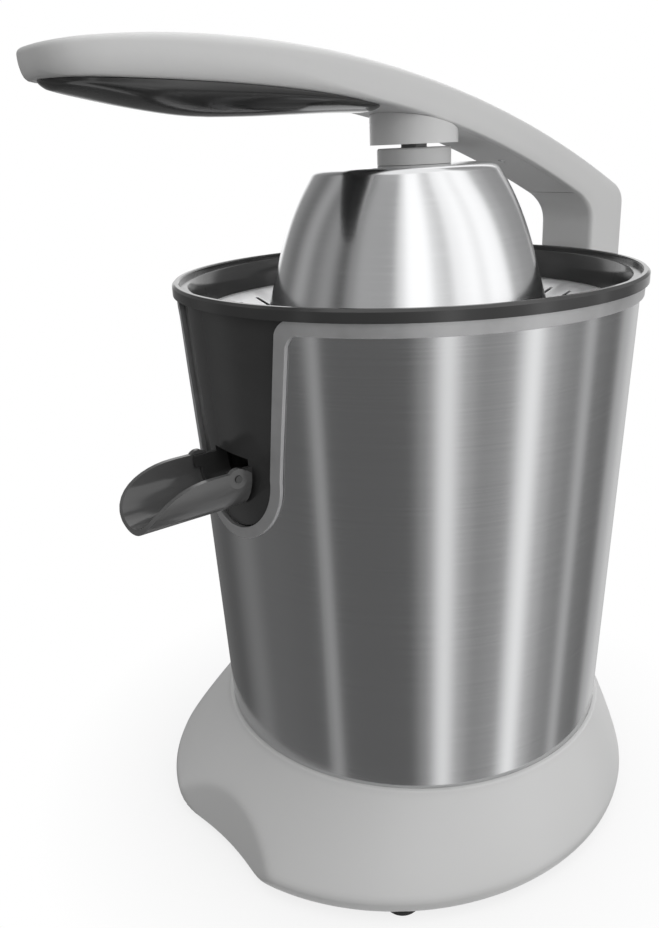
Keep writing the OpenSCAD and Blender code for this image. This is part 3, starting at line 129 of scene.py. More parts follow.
class Finish(Nodes):
    """A material with one Principled shader, and the patterns that the finishes share."""

    def __init__(self, name, inputs=None):
        self.material = bpy.data.materials.new(name)
        self.material.use_nodes = True
        super().__init__(self.material.node_tree, "OutputMaterial")
        self.principled = self.tree.nodes.new("ShaderNodeBsdfPrincipled")
        self.shader = Val(self.tree, self.principled.outputs[0])
        self.show(self.shader)
        self.set(inputs or {})

    def set(self, inputs):
        for name, value in inputs.items():
            feed(self.tree, self.principled.inputs[name], value)

    def place(self, stretch=(1.0, 1.0, 1.0)):
        """The place on the piece, in metres. A pattern is finer in the directions with larger numbers."""
        place = self.node("TexCoord", output="Object")
        return self.node("VectorMath", {"operation": "MULTIPLY"}, {0: place, 1: stretch})

    def noise(self, scale, stretch=(1.0, 1.0, 1.0), detail=2.0):
        inputs = {"Vector": self.place(stretch), "Scale": scale, "Detail": detail}
        return self.node("TexNoise", inputs=inputs)

    def blend(self, factor, first, second):
        """The first colour at 0 and the second at 1. Sockets 6 and 7 and output 2 are the node's colours."""
        return self.node("Mix", {"data_type": "RGBA"}, {0: factor, 6: first, 7: second}, 2)

    def ramp(self, value, low, high, out_low, out_high):
        """A straight ramp from one level to another while the value runs from low to high."""
        return self.node("MapRange", {"clamp": True}, {0: value, 1: low, 2: high, 3: out_low, 4: out_high})

    def bump(self, height, distance, strength):
        return self.node("Bump", inputs={"Height": height, "Distance": distance, "Strength": strength})


def brushed(name, level, rough, contrast, stretch):
    """Brushed steel: hairlines are a noise drawn out along the brushing, over a slow unevenness."""
    steel_white = (0.985, 0.99, 1.0, 1.0)
    gloss_contrast = 0.10
    unevenness = 0.05
    finish = Finish(name, {"Metallic": 1.0})
    hair = finish.noise(1.0, stretch, detail=3.0)
    slow = finish.noise(9.0, stretch=(1.0, 1.0, 0.5))
    tone = level + (hair - 0.5) * contrast + (slow - 0.5) * unevenness
    gloss = rough + (hair - 0.5) * gloss_contrast + (slow - 0.5) * unevenness
    finish.set({
        "Base Color": finish.blend(tone.between(0.0, 1.0), grey(0.0), steel_white),
        "Roughness": gloss.between(0.05, 1.0),
        "Normal": finish.bump(hair, 0.01 * mm, strength=0.2),
    })
    return finish


def paint(obj, finish):
    """Gives an object one finish and takes any other off."""
    obj.data.materials.clear()
    obj.data.materials.append(finish.material)


def finished(obj, finish, body, stands_for, sharp):
    """Smooth shading up to an angle, the finish, the body and the nodes that the piece stands for.
    Those nodes take the same finish."""
    bpy.context.scene.collection.objects.link(obj)
    obj.data.polygons.foreach_set("use_smooth", np.ones(len(obj.data.polygons), bool))
    obj.data.set_sharp_from_angle(angle=math.radians(sharp))
    for painted in (obj, *(nodes[name] for name in stands_for)):
        paint(painted, finish)
    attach(obj, body)
    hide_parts(*stands_for)
    return obj


def dressed(node, finish, body, bevel):
    """A copy of a CAD node's mesh: joined, flat faces made whole, hard edges rounded, smooth elsewhere."""
    hard_angle = 38.0
    flat_angle = 0.4
    mesh = nodes[node].data.copy()
    for layer in ("custom_normal", "sharp_edge", "sharp_face"):
        found = mesh.attributes.get(layer)
        if found:
            mesh.attributes.remove(found)
    work = bmesh.new()
    work.from_mesh(mesh)
    bmesh.ops.remove_doubles(work, verts=work.verts, dist=0.002 * mm)
    bmesh.ops.dissolve_limit(work, angle_limit=math.radians(flat_angle), verts=work.verts, edges=work.edges)
    work.to_mesh(mesh)
    work.free()
    obj = finished(bpy.data.objects.new("fine_" + node, mesh), finish, body, (node,), hard_angle)
    if bevel:
        edge = obj.modifiers.new("rounded_edges", "BEVEL")
        edge.width = bevel * mm
        edge.segments = 2
        edge.limit_method = "ANGLE"
        edge.angle_limit = math.radians(hard_angle)
        edge.harden_normals = True
        edge.use_clamp_overlap = True


steel_sleeve = brushed("brushed_steel_sleeve", 0.62, rough=0.15, contrast=0.07, stretch=(14.0, 14.0, 2600.0))
dressed("steel_casing", steel_sleeve, "housing", bevel=0.2)


# Window and edge trim
# One bright grey moulding: a band round the casing's upper edge that turns down and frames the window.
# It is clipped over the cut edge of the sheet; its inner corners are round.
def plain_metal(name, color, rough, metallic=1.0):
    """Turned, zinc coated or varnished metal, or a metallic paint: mottled in colour and gloss."""
    dark_share = 0.82
    gloss_contrast = 0.18
    finish = Finish(name, {"Metallic": metallic})
    mottle = finish.noise(150.0, detail=3.0)
    dark = tuple(c * dark_share for c in color) + (1.0,)
    finish.set({
        "Base Color": finish.blend(mottle, dark, color + (1.0,)),
        "Roughness": rough + (mottle - 0.5) * gloss_contrast,
        "Normal": finish.bump(mottle, 0.03 * mm, strength=0.4),
    })
    return finish


grey_trim = plain_metal("grey_trim", (0.63, 0.63, 0.635), rough=0.34, metallic=0.55)
dressed("casing_trim", grey_trim, "housing", bevel=0.45)


# Base
# White moulded skirt with a hollow in its front for the glass; the casing stands in its upper groove.
# Its flank is slightly swollen and turns under at the floor, where the skirt is longer and stands forward.
def moulded(name, level, rough):
    """Moulded plastic or rubber: a faint cloudiness of the colour and an orange peel in the gloss."""
    cloudy_share, blue_share = 0.985, 0.992
    peel_gloss, cloud_gloss = 0.06, 0.05
    finish = Finish(name, {"IOR": 1.49})
    cloud = finish.noise(26.0)
    peel = finish.noise(420.0, detail=1.0)
    clear_color = (level, level, level * blue_share, 1.0)
    finish.set({
        "Base Color": finish.blend(cloud, grey(level * cloudy_share), clear_color),
        "Roughness": rough + (peel - 0.5) * peel_gloss + (cloud - 0.5) * cloud_gloss,
        "Normal": finish.bump(peel, 0.03 * mm, strength=0.25),
    })
    return finish


axis_y = 10.8 * mm  # the bowl, casing and dome stand about an upright line this far behind the origin


def piece(name, points, faces, finish, body, node, slot, sharp=40.0):
    """A mesh from an array of places, in mm about the juicer's axis, and an array of its faces.
    Corners that coincide are joined, so seams and poles close, and normals point outwards."""
    mesh = bpy.data.meshes.new(name)
    places = np.asarray(points, float).reshape(-1, 3) * mm + np.array([0.0, axis_y, 0.0])
    mesh.from_pydata(places.tolist(), [], np.asarray(faces).tolist())
    work = bmesh.new()
    work.from_mesh(mesh)
    bmesh.ops.remove_doubles(work, verts=work.verts, dist=0.001 * mm)
    bmesh.ops.dissolve_degenerate(work, edges=work.edges, dist=0.0001 * mm)
    bmesh.ops.recalc_face_normals(work, faces=work.faces)
    work.to_mesh(mesh)
    work.free()
    finished(bpy.data.objects.new(name, mesh), finish, body, (node,), sharp)


def quads(rows, columns, close_rows=False):
    """Faces of a grid of places. Each row runs round to its start, and the last row can join the first."""
    r = np.arange(rows if close_rows else rows - 1)
    r, c = [a.ravel() for a in np.meshgrid(r, np.arange(columns), indexing="ij")]
    r2, c2 = (r + 1) % rows, (c + 1) % columns
    return np.stack([r * columns + c, r * columns + c2, r2 * columns + c2, r2 * columns + c], 1)


def arc(x, z, radius, start, end, steps):
    """Places on a circle arc in a side view, from one angle to another in degrees."""
    a = np.radians(np.linspace(start, end, steps))
    return np.stack([x + radius * np.cos(a), z + radius * np.sin(a)], 1)


# Skirt, in mm: its flank narrows upwards, and a power above 1 swells it
skirt_r = 108.5
skirt_taper = 16.9
skirt_wall = 3.1
swell_power = 1.15
flank_low, flank_high = 9.5, 41.5
inner_low, inner_high = 9.4, 37.6
flank_rows, inner_rows = 26, 21
# Lower edge: a quarter ellipse from the flank to the underside, and the seat of the base plate
underside = 2.5
under_width, under_height = 3.8, 7.3
foot_r = 98.0
plate_r = 92.4
# Upper rim: the arc's centre, its radius and the angle in degrees at which the flank meets it
rim_r = 90.5
rim_round = 1.1
rim_start = 14.0
# At the floor the skirt stands forward by this much and is longer by this share
skirt_forward = 10.6
longer_share = 0.04
# Hollow: a cone that widens upwards, its wall, and the soft maximum's width on each side of the wall
hollow_x, hollow_y = 7.0, -253.94
hollow_r = 140.0
hollow_slope = 0.22
hollow_wall = 3.0
outer_soft, inner_soft = 1.1, 0.8
turn_step = 1.5
# Radius and height of the groove's places and of the inner lower edge
groove = [[89.45, 42.6], [89.44, 42.3], [89.4, 37.5], [86.0, 37.4], [84.0, 37.3], [83.6, 34.6]]
inner_edge = [[104.6, 9.0], [102.4, 6.0], [foot_r, 5.5], [plate_r, 5.5]]


def base_surface():
    """A closed outline turned about the axis. Towards the bottom each ring is longer, and stands forward, but
    the seat of the base plate stays round. Places in the hollow's cone are pushed back onto it with a soft
    maximum, which rounds its rim."""
    t = np.linspace(0.0, 1.0, flank_rows)
    narrower = skirt_taper * t ** swell_power
    flank = np.stack([skirt_r - narrower, flank_low + (flank_high - flank_low) * t], 1)
    inner = np.stack([skirt_r - skirt_wall - narrower, inner_low + (inner_high - inner_low) * t], 1)
    under = np.radians(np.linspace(-90.0, 0.0, 14)[:-1])
    turned_under = np.stack([skirt_r + under_width * (np.cos(under) - 1.0),
                             underside + under_height * (np.sin(under) + 1.0)], 1)
    outside = np.concatenate([[[plate_r, underside], [foot_r, underside]], turned_under, flank[1:-1],
                              arc(rim_r, flank_high, rim_round, rim_start, 90.0, 6)])
    outline = np.concatenate([outside, groove, inner[:inner_rows][::-1], inner_edge])
    outer = np.arange(len(outline))[:, None] < len(outside)
    radius, z = outline[:, :1], outline[:, 1:]
    at_plate = (radius <= plate_r) & (z < flank_low)
    lowness = np.clip(1.0 - (z - flank_low) / (flank_high - flank_low), 0.0, 1.0)
    longer = longer_share * np.where(at_plate, 0.0, lowness)
    forward = skirt_forward * np.where(at_plate, 1.0, lowness)
    turns = np.radians(np.arange(0.0, 360.0, turn_step))[None, :]
    x = radius * np.cos(turns)
    y = radius * np.sin(turns) * (1.0 + longer) - forward
    cone = hollow_r + hollow_slope * (z - underside)
    hollow = hollow_y + np.sqrt(np.maximum(cone ** 2 - (x - hollow_x) ** 2, 0.0))
    hollow = hollow + np.where(outer, 0.0, hollow_wall)
    soft = np.where(outer, outer_soft, inner_soft)
    pushed = 0.5 * (y + hollow + np.sqrt((y - hollow) ** 2 + soft ** 2))
    y = np.where((y < 0.0) & ~at_plate, pushed, y)
    return np.stack([x, y, np.broadcast_to(z, x.shape)], 2), quads(*x.shape, close_rows=True)


white_plastic = moulded("white_plastic", 0.74, rough=0.34)
piece("base_skin", *base_surface(), white_plastic, "housing", "base_housing", "white_plastic")


# Press dome
# Deep-drawn and polished steel cup with a bulging side, a round upper corner and a flat top.
# Its hub is screwed through the top; a black liner shows as a thin line at its lower edge.
def polished_plastic(name, level, rough):
    """Polished dark plastic: clear gloss with slight smears and a soft waviness."""
    smeared_share = 1.35
    gloss_contrast = 0.12
    finish = Finish(name, {"IOR": 1.5})
    smear = finish.noise(34.0, stretch=(1.0, 1.0, 2.2), detail=4.0)
    wave = finish.noise(60.0)
    finish.set({
        "Base Color": finish.blend(smear, grey(level), grey(level * smeared_share)),
        "Roughness": rough + (smear - 0.5) * gloss_contrast,
        "Normal": finish.bump(wave, 0.04 * mm, strength=0.3),
    })
    return finish


# Side, in mm: a straight taper from the mouth up, and the size and low end of its bulge
mouth_r, mouth_z = 59.4, 231.0
side_height = 48.1
side_taper = 17.4
side_bulge = 8.0
bulge_low_share = 0.4
wall_low, wall_high = 1.0, 0.5
lip = 0.5
side_rows, corner_rows, dome_columns = 40, 11, 192
# Upper corner: the arcs' centre, their radii and the angle in degrees at which the side meets them
corner_r, corner_z = 35.23, 280.5
corner_round, corner_inner = 5.1, 4.68
corner_start = 30.7
# Top: flat outside from the corner inwards, and inside from this radius inwards
flat_r = 20.0
top_z, inner_top_z = corner_z + corner_round, 284.9


def dome_outline():
    """The side is a straight taper plus a bulge that is fullest above its middle. An arc is its corner."""
    t = np.linspace(0.0, 1.0, side_rows)
    radius = mouth_r - side_taper * t + side_bulge * t * (1.0 - t) * (bulge_low_share + t)
    side = np.stack([radius, mouth_z + side_height * t], 1)
    wall = np.linspace([wall_low, 0.0], [wall_high, 0.0], len(t))
    corner = arc(corner_r, corner_z, corner_round, corner_start, 90.0, corner_rows)
    inner_corner = arc(corner_r, corner_z, corner_inner, corner_start, 90.0, corner_rows)
    outside = np.concatenate([side, corner, [[flat_r, top_z], [0.0, top_z]]])
    inside = np.concatenate([side - wall, inner_corner, [[flat_r, inner_top_z], [0.0, inner_top_z]]])
    edge = arc(mouth_r - lip, mouth_z + lip, lip, -180.0, 0.0, 7)
    return np.concatenate([inside[::-1][:-1], edge, outside[1:]])


def turned(outline, columns):
    """Turns an outline of radius and height about the axis."""
    turns = np.linspace(0.0, 2.0 * np.pi, columns, endpoint=False)
    x = outline[:, :1] * np.cos(turns)
    y = outline[:, :1] * np.sin(turns)
    return np.stack([x, y, np.broadcast_to(outline[:, 1:], x.shape)], 2), quads(*x.shape)


polished_steel = brushed("polished_steel", 0.80, rough=0.16, contrast=0.05, stretch=(20.0, 20.0, 1500.0))
black_plastic = polished_plastic("black_plastic", 0.048, rough=0.14)
light_grey_plastic = moulded("light_grey_plastic", 0.58, rough=0.38)
dome_skin = turned(dome_outline(), dome_columns)
piece("dome_skin", *dome_skin, polished_steel, "dome", "dome_shell", "polished_steel")
dressed("dome_liner", black_plastic, "dome", bevel=0.2)
dressed("dome_hub", light_grey_plastic, "dome", bevel=0.5)


# Lever
# White moulded arm, hollow from below and closed with a cover: a wide round grip that curves up over the dome
# and bends down into the upright on the hinge. All its edges are well rounded.

# Round end in the side view, in mm, where s is the distance to the front of the axis and z the height
hinge_s, hinge_z = -119.7, 217.0
hinge_r = 12.7
upright_front, upright_back = hinge_s + hinge_r, hinge_s - hinge_r
# Guide places, s and z, of the side view's curves
top_curve = [[154.0, 326.5], [58.6, 339.6], [-40.4, 314.7], [-126.0, 271.5]]
low_curve = [[154.0, 317.3], [56.2, 315.5], [-4.5, 312.6], [-97.0, 267.9]]
shoulder_curve = [top_curve[-1], [-129.4, 269.3], [upright_back, 266.9], [upright_back, 262.5]]
armpit_curve = [low_curve[-1], [-102.0, 264.9], [upright_front, 260.4], [upright_front, 253.9]]
# Plan: half widths at the grip and the hinge, the centre of the tip, and its power, which is 2 for a circle
grip_half, hinge_half = 19.5, 15.25
tip_s = 134.5
tip_power = 2.6
# Recess of the cover: the places of its ends, half the steep step there as a share of the curve, the step
# along its sides, and its depth
cover_front, cover_back = 115.0, -95.0
step_share = 0.0006
recess_step, recess_depth = 0.1, 2.6
# Rounded edges: the upper radius and the height of the lower ellipse at places along the arm, the ellipse's
# width and its largest share of the side, and the height of the arm from which both are full
upper_round_s, upper_round = [95.0, 140.0], [3.4, 1.7]
lower_round_s, lower_round = [30.0, 80.0, 130.0], [2.0, 7.5, 9.0]
lower_round_width = 2.5
lower_round_share = 0.95
full_height = 8.0


def cubic(guides, t):
    """Places on the cubic curve through its four guide places."""
    g = np.asarray(guides, float)
    t = t[:, None]
    return (1 - t) ** 3 * g[0] + 3 * (1 - t) ** 2 * t * g[1] + 3 * (1 - t) * t ** 2 * g[2] + t ** 3 * g[3]


dense = np.linspace(0.0, 1.0, 2001)
low_dense = cubic(low_curve, dense)


def share_at(s):
    """The low curve's share at which it reaches a distance to the front."""
    return float(np.interp(s, low_dense[::-1, 0], dense[::-1]))


def tip_reach(x, s):
    """Distance from the centre of the lever's tip, measured so that its rings are squarer than circles."""
    return (np.abs(x) ** tip_power + np.maximum(s - tip_s, 0.0) ** tip_power) ** (1.0 / tip_power)


def lever_half(s):
    """Half width of the lever's plan: a squarish round tip, then a straight taper to the hinge."""
    straight = grip_half - (grip_half - hinge_half) * np.clip((tip_s - s) / (tip_s - hinge_s), 0.0, 1.0)
    room = grip_half ** tip_power - np.maximum(s - tip_s, 0.0) ** tip_power
    return np.where(s > tip_s, np.maximum(room, 0.0) ** (1.0 / tip_power), straight)


def lever_sides():
    """Pairs of places on the upper and the lower edge, from the tip over the shoulder to the round hinge end.
    The third array says where the underside is open for the cover."""
    nose, cover_start, cover_end = [share_at(s) for s in (tip_s, cover_front, cover_back)]
    shares = np.concatenate([
        nose * (1.0 - np.cos(np.linspace(0.0, np.pi / 2.0, 22))),
        np.linspace(nose, cover_start - step_share, 8)[1:],
        np.linspace(cover_start + step_share, cover_end - step_share, 64),
        [cover_end + step_share, 1.0],
    ])
    bend = np.linspace(0.0, 1.0, 12)[1:]
    drop = np.linspace(0.0, 1.0, 8)[1:]
    turn = np.radians(np.linspace(0.0, 90.0, 16)[1:])

    def edge(arm_curve, bend_curve, reach):
        """The arm's curve, the bend, the straight drop and a quarter of the round end."""
        s, z = bend_curve[-1]
        straight = np.stack([np.full(len(drop), s), z + (hinge_z - z) * drop], 1)
        end = np.stack([hinge_s + reach * np.cos(turn), hinge_z - hinge_r * np.sin(turn)], 1)
        return np.concatenate([cubic(arm_curve, shares), cubic(bend_curve, bend), straight, end])

    top = edge(top_curve, shoulder_curve, -hinge_r)
    low = edge(low_curve, armpit_curve, hinge_r)
    opened = np.zeros(len(top), bool)
    opened[:len(shares)] = (shares > cover_start) & (shares < cover_end)
    return top, low, opened


def lever_surface():
    """Rings across the arm. Each starts at one side, runs over the top and back along the underside.
    Near an edge the top drops as a circle does, with a smaller radius at the tip, and the underside rises
    as an ellipse does, which grows taller along the grip."""
    top, low, opened = lever_sides()
    top_s, low_s = top[:, :1], low[:, :1]
    across = top - low
    height = np.linalg.norm(across, axis=1, keepdims=True)
    across[:-1] /= height[:-1]
    across[-1] = across[-2]
    half_top, half_low = lever_half(top_s), lever_half(low_s)
    room = np.minimum(1.0, height / full_height)

    x_top = half_top * np.sin(np.linspace(-np.pi / 2.0, np.pi / 2.0, 27))
    inset_top = np.where(top_s > tip_s, grip_half - tip_reach(x_top, top_s), half_top - np.abs(x_top))
    upper = np.interp(low_s, upper_round_s, upper_round) * room
    fall = upper - np.sqrt(np.maximum(upper ** 2 - np.maximum(upper - inset_top, 0.0) ** 2, 0.0))

    insets = lower_round_width * (1.0 - np.cos(np.linspace(0.0, np.pi / 2.0, 9)))
    insets = np.append(insets, [lower_round_width + recess_step, 2.0 * lower_round_width])
    inset = np.minimum(insets, half_low)
    x_low = np.concatenate([half_low - inset, np.zeros_like(half_low), inset[:, ::-1] - half_low], 1)
    gap = np.concatenate([inset, half_low, inset[:, ::-1]], 1)
    inset_low = np.where(low_s > tip_s, grip_half - tip_reach(x_low, low_s), gap)
    lower = np.minimum(np.interp(low_s, lower_round_s, lower_round) * room,
                       lower_round_share * (height - upper).clip(0.0, None))
    rise = lower * (1.0 - np.sqrt(1.0 - (1.0 - inset_low / lower_round_width).clip(0.0, 1.0) ** 2))
    in_recess = opened[:, None] & (gap > lower_round_width + 0.5 * recess_step)
    rise = rise + np.where(in_recess, recess_depth, 0.0)

    between = np.array([[1.0, 2.0]]) / 3.0
    crown = height - fall
    right = crown[:, -1:] + (rise[:, :1] - crown[:, -1:]) * between
    left = rise[:, -1:] + (crown[:, :1] - rise[:, -1:]) * between
    side = (half_low - half_top) * between
    x = np.concatenate([x_top, half_top + side, x_low, -half_low + side], 1)
    up = np.concatenate([crown, right, rise, left], 1)
    s = low_s + across[:, :1] * up
    z = low[:, 1:] + across[:, 1:] * up
    return np.stack([x, -s, z], 2), quads(*x.shape)


piece("lever_skin", *lever_surface(), white_plastic, "lever", "lever_arm", "white_plastic")
dressed("lever_cover", white_plastic, "lever", bevel=0.15)
dressed("press_boss", white_plastic, "lever", bevel=0.5)


# Grip insert
# Glossy black shell under the grip: it swells towards the hand and runs out to a point near the dome.
# It snaps into the lever's underside, so its rim follows the lever's lower curve.

# Ends, the lengths of their rounding, half width, depths and the gap to the lever, in mm
insert_front, insert_back = 150.4, 20.0
nose_length, heel_length = 9.0, 6.0
insert_half = 16.9
insert_depth, rim_depth = 8.7, 1.0
insert_gap = 0.22
end_fullness = 1.2
# Sections from the front to the back of the insert: their places, depths and widths
section_shares = np.array([0.0, 0.1, 0.24, 0.4, 0.55, 0.72, 0.87, 1.0])
depth_shares = np.array([0.12, 0.42, 0.78, 1.0, 0.92, 0.66, 0.34, 0.04])
width_shares = np.array([0.55, 0.86, 0.96, 1.0, 1.0, 0.98, 0.92, 0.8])


def eased(values, u):
    """A smooth curve through the sections' values: cubic between neighbours, and never steeper at one
    than twice the straight line beside it."""
    slope = np.gradient(values, section_shares)
    i = np.clip(np.searchsorted(section_shares, u, side="right") - 1, 0, len(section_shares) - 2)
    span = section_shares[i + 1] - section_shares[i]
    f = (u - section_shares[i]) / span
    steepest = 2.0 * np.abs(values[i + 1] - values[i]) / span
    a, b = [np.sign(slope[j]) * np.minimum(np.abs(slope[j]), steepest) for j in (i, i + 1)]
    curve = ((2 * f ** 3 - 3 * f ** 2 + 1) * values[i] + (f ** 3 - 2 * f ** 2 + f) * span * a
             + (3 * f ** 2 - 2 * f ** 3) * values[i + 1] + (f ** 3 - f ** 2) * span * b)
    return np.clip(curve, 0.0, 1.0)


def grip_surface():
    """Half ellipses across the grip. Their depth and width follow smooth curves through the section values,
    and both ends close as quarter circles."""
    u = 0.5 - 0.5 * np.cos(np.linspace(0.0, np.pi, 72))
    s = insert_front + (insert_back - insert_front) * u
    nose = np.sqrt(1.0 - (1.0 - (insert_front - s) / nose_length).clip(0.0, 1.0) ** 2)
    heel = np.sqrt(1.0 - (1.0 - (s - insert_back) / heel_length).clip(0.0, 1.0) ** 2)
    half = (insert_half * eased(width_shares, u) * nose * heel)[:, None]
    deep = insert_depth * eased(depth_shares, u) + rim_depth
    deep = (deep * np.minimum(nose * end_fullness, 1.0) * np.minimum(heel * end_fullness, 1.0))[:, None]
    a = np.linspace(0.0, np.pi, 33)
    x = half * np.append(np.cos(a), [-0.5, 0.0, 0.5])
    down = deep * np.append(np.sin(a), [0.0, 0.0, 0.0])
    rim = np.interp(s, low_dense[::-1, 0], low_dense[::-1, 1])[:, None] - insert_gap
    return np.stack([x, -np.broadcast_to(s[:, None], x.shape), rim - down], 2), quads(*x.shape)


piece("grip_skin", *grip_surface(), black_plastic, "lever", "grip_insert", "black_plastic", sharp=60.0)


# Bowl, strainer, cone and spout
# Black moulded bowl with a double-stepped rim and a front panel that fills the window. A satin steel strainer
# lies in it, and the reamer cone stands on the shaft. The smoke-coloured spout tilts up on two pins.
satin_steel = plain_metal("satin_steel", (0.93, 0.93, 0.935), rough=0.48)
smoke_plastic = polished_plastic("smoke_plastic", 0.105, rough=0.13)
dressed("juice_bowl", black_plastic, "housing", bevel=0.3)
dressed("strainer", satin_steel, "housing", bevel=0.0)
dressed("reamer_cone", black_plastic, "cone", bevel=0.4)
dressed("drip_spout", smoke_plastic, "spout", bevel=0.4)


# Hinge bracket
# White moulded block screwed through the casing's back; its two cheeks carry the steel hinge pin.
# Its edges are rounded more than those of the other mouldings.
plain_steel = plain_metal("plain_steel", (0.55, 0.55, 0.56), rough=0.32)
dressed("hinge_bracket", white_plastic, "housing", bevel=0.8)
dressed("hinge_pin", plain_steel, "housing", bevel=0.3)


# Feet and inner works
# Rubber feet pressed into the base, and behind the base plate the motor, its gears, the shaft and the switch.
# These pieces keep the CAD model's shapes and take the finish of their material.
rubber = moulded("rubber", 0.03, rough=0.75)
dark_plastic = moulded("dark_plastic", 0.035, rough=0.55)
gear_plastic = moulded("gear_plastic", 0.74, rough=0.42)
core_steel = plain_metal("core_steel", (0.30, 0.31, 0.33), rough=0.5)
winding = plain_metal("winding", (0.50, 0.22, 0.09), rough=0.3)
bush_bronze = plain_metal("bush_bronze", (0.52, 0.37, 0.17), rough=0.42)
plain_nodes = [
    (rubber, ("rubber_feet", "cord_gland", "shaft_seal")),
    (dark_plastic, ("base_plate", "switch_body", "switch_plunger")),
    (light_grey_plastic, ("chassis_frame", "gear_case")),
    (gear_plastic, ("idler_gear", "output_gear")),
    (core_steel, ("stator_core", "motor_rotor")),
    (winding, ("stator_windings",)),
    (bush_bronze, ("shaft_bushes",)),
    (plain_steel, ("base_screws", "chassis_screws", "motor_bracket", "motor_screws", "idler_axle",
                   "drive_shaft", "return_spring", "backing_plate", "bracket_screws", "lever_screws",
                   "dome_pin", "dome_nut")),
]
for finish, names in plain_nodes:
    for name in names:
        paint(nodes[name], finish)


# Studio
# A pale floor, white behind the object, a soft ceiling light, a larger soft light at the right and a weak one
# at the left. A wide ring of light bands stands round the object and shows only in its reflections.
def flat_light(name, place, width, watts):
    """A square area light that looks from its place, in metres, at the juicer, and shows in no reflection."""
    juicer_middle = Vector((0.0, 0.0, 0.15))
    data = bpy.data.lights.new(name, "AREA")
    data.shape = "SQUARE"
    data.size = width
    data.energy = watts
    lamp = bpy.data.objects.new(name, data)
    lamp.location = place
    lamp.rotation_euler = (juicer_middle - Vector(place)).to_track_quat("-Z", "Y").to_euler()
    lamp.visible_glossy = False
    bpy.context.scene.collection.objects.link(lamp)


flat_light("ceiling_light", (-0.05, 0.42, 1.45), width=1.4, watts=9.0)
flat_light("right_light", (1.15, 0.15, 0.55), width=0.9, watts=4.4)
flat_light("left_light", (-1.1, -0.5, 0.5), width=0.7, watts=0.5)


def stage_mesh(name, places, faces, finish):
    """A stage object from lists of places, in metres, and of faces."""
    mesh = bpy.data.meshes.new(name)
    mesh.from_pydata(places, [], faces)
    obj = bpy.data.objects.new(name, mesh)
    bpy.context.scene.collection.objects.link(obj)
    paint(obj, finish)
    return obj


# The camera sees the floor whiter with its distance from the juicer; light falls on a darker floor
near_radius, white_radius = 0.09, 0.18
near_white = 0.76
lit_level, seen_level = 0.2, 0.9
floor_half = 8.0
floor_finish = Finish("floor", {"Roughness": 0.9})
white_glow = floor_finish.node("Emission", inputs={"Color": grey(1.0), "Strength": 1.0})
seen = floor_finish.node("LightPath", output="Is Camera Ray")
floor_finish.set({"Base Color": floor_finish.blend(seen, grey(lit_level), grey(seen_level))})
away_from_centre = floor_finish.node("VectorMath", {"operation": "LENGTH"}, {0: floor_finish.place()}, 1)
whiter = floor_finish.ramp(away_from_centre, near_radius, white_radius, near_white, 1.0)
mixed = {0: seen * whiter, 1: floor_finish.shader, 2: white_glow}
floor_finish.show(floor_finish.node("MixShader", inputs=mixed))
corners = [(x * floor_half, y * floor_half, 0.0) for x, y in ((-1, -1), (1, -1), (1, 1), (-1, 1))]
floor = stage_mesh("floor", corners, [(0, 1, 2, 3)], floor_finish)
floor.visible_glossy = False

# The ring's lower and upper light: degrees round from the camera's side, positive to its right, and level
low_bands = [
    (-180, 0.3), (-150, 0.16), (-118, 0.12), (-96, 0.24), (-82, 0.17), (-50, 0.15), (-43, 0.46), (-36, 0.15),
    (0, 0.15), (8, 0.35), (18, 1.15), (27, 0.5), (34, 0.34), (46, 0.4), (58, 1.3), (67, 0.6), (76, 0.36),
    (84, 0.3), (91, 0.62), (98, 0.25), (112, 0.2), (124, 0.55), (138, 0.7), (180, 0.3)]
high_bands = [
    (-180, 1.3), (-152, 1.2), (-140, 0.3), (-116, 0.18), (-98, 0.38), (-84, 0.22), (-69, 0.32), (-55, 0.12),
    (-46, 0.3), (-38, 0.42), (-12, 0.4), (-4, 0.9), (4, 1.3), (18, 1.3), (27, 0.85), (35, 0.7), (44, 1.1),
    (58, 1.25), (67, 1.05), (76, 1.25), (88, 1.2), (100, 0.5), (120, 0.35), (140, 0.3), (152, 1.2),
    (180, 1.3)]
brightest = 1.5
camera_side = math.radians(48.0)
# In metres: the heights where the lower light ends and the upper light starts, and the ring's size
low_until, high_from = 0.125, 0.245
ring_radius = 0.62
ring_heights = (-0.8, 0.2, 1.5)
ring_steps = 96

bands = Finish("light_bands")
x_place, y_place, z_place = [bands.node("SeparateXYZ", inputs={0: bands.place()}, output=i) for i in range(3)]
y_place = y_place - axis_y
ahead = x_place * math.sin(camera_side) - y_place * math.cos(camera_side)
aside = x_place * math.cos(camera_side) + y_place * math.sin(camera_side)
turn_share = aside.math("ARCTAN2", aside, ahead) / (2.0 * math.pi) + 0.5


def band_ramp(table):
    """A colour ramp whose stops are the bands of light; its white stands for the brightest level."""
    stops = [((degrees + 180.0) / 360.0, level / brightest) for degrees, level in table]
    return bands.node("ValToRGB", {"interpolation": "EASE"}, {0: turn_share}, stops=stops)


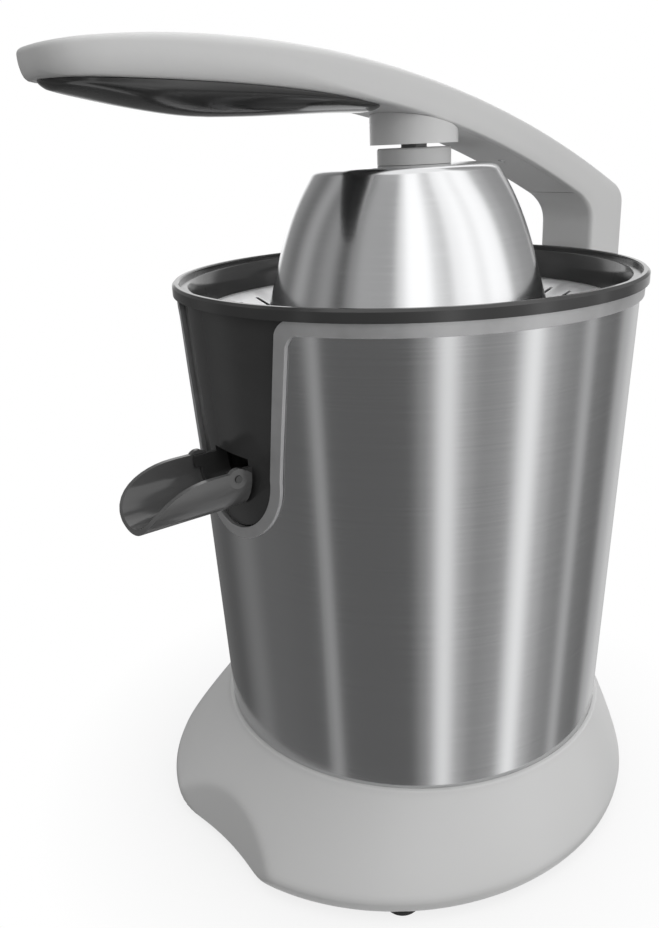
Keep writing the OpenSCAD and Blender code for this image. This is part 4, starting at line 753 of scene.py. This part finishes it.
upward = bands.ramp(z_place, low_until, high_from, 0.0, 1.0)
band_level = bands.blend(upward, band_ramp(low_bands), band_ramp(high_bands))
bands.show(bands.node("Emission", inputs={"Color": band_level, "Strength": brightest}))
ring = np.linspace(0.0, 2.0 * np.pi, ring_steps, endpoint=False)
ring_x, ring_y = ring_radius * np.cos(ring), ring_radius * np.sin(ring) + axis_y
ring_places = np.concatenate([np.stack([ring_x, ring_y, np.full(ring_steps, z)], 1) for z in ring_heights])
ring_faces = quads(len(ring_heights), ring_steps)
surround = stage_mesh("light_bands", ring_places.tolist(), ring_faces.tolist(), bands)
surround.visible_camera = False
surround.visible_diffuse = False
surround.visible_transmission = False
surround.visible_shadow = False
surround.visible_volume_scatter = False

# The camera, reflections and clear pieces see a white world; it lights the object at about half of that
world_light = 0.49
world = bpy.data.worlds.new("studio")
bpy.context.scene.world = world
world.use_nodes = True
sky = Nodes(world.node_tree, "OutputWorld")
camera_ray, glossy_ray, through_ray = [
    sky.node("LightPath", output="Is " + ray + " Ray") for ray in ("Camera", "Glossy", "Transmission")]
direct = camera_ray.most(glossy_ray).most(through_ray)
level = world_light + direct * (1.0 - world_light)
sky.show(sky.node("Background", inputs={"Color": grey(1.0), "Strength": level}))


# Camera
# It stands to the right of the spout, a little above the lever, and looks down on the juicer.
# Its place and its three directions were solved from the round edges in the photograph.
camera_data = bpy.data.cameras.new("camera")
camera_data.sensor_fit = "VERTICAL"
camera_data.sensor_height = 36.0
camera_data.lens = 34.07
camera_data.clip_start = 0.02
camera = bpy.data.objects.new("camera", camera_data)
bpy.context.scene.collection.objects.link(camera)
camera_place = Vector((0.2876, -0.2589 + axis_y, 0.2943))
camera_right = Vector((0.60733, 0.79339, -0.04090))
camera_up = Vector((-0.24700, 0.23751, 0.93946))
camera_back = Vector((0.75507, -0.56046, 0.34022))
camera_axes = Matrix((camera_right, camera_up, camera_back)).transposed().to_4x4()
camera.matrix_world = Matrix.Translation(camera_place) @ camera_axes
bpy.context.scene.camera = camera
bpy.context.scene.view_settings.view_transform = "Standard"
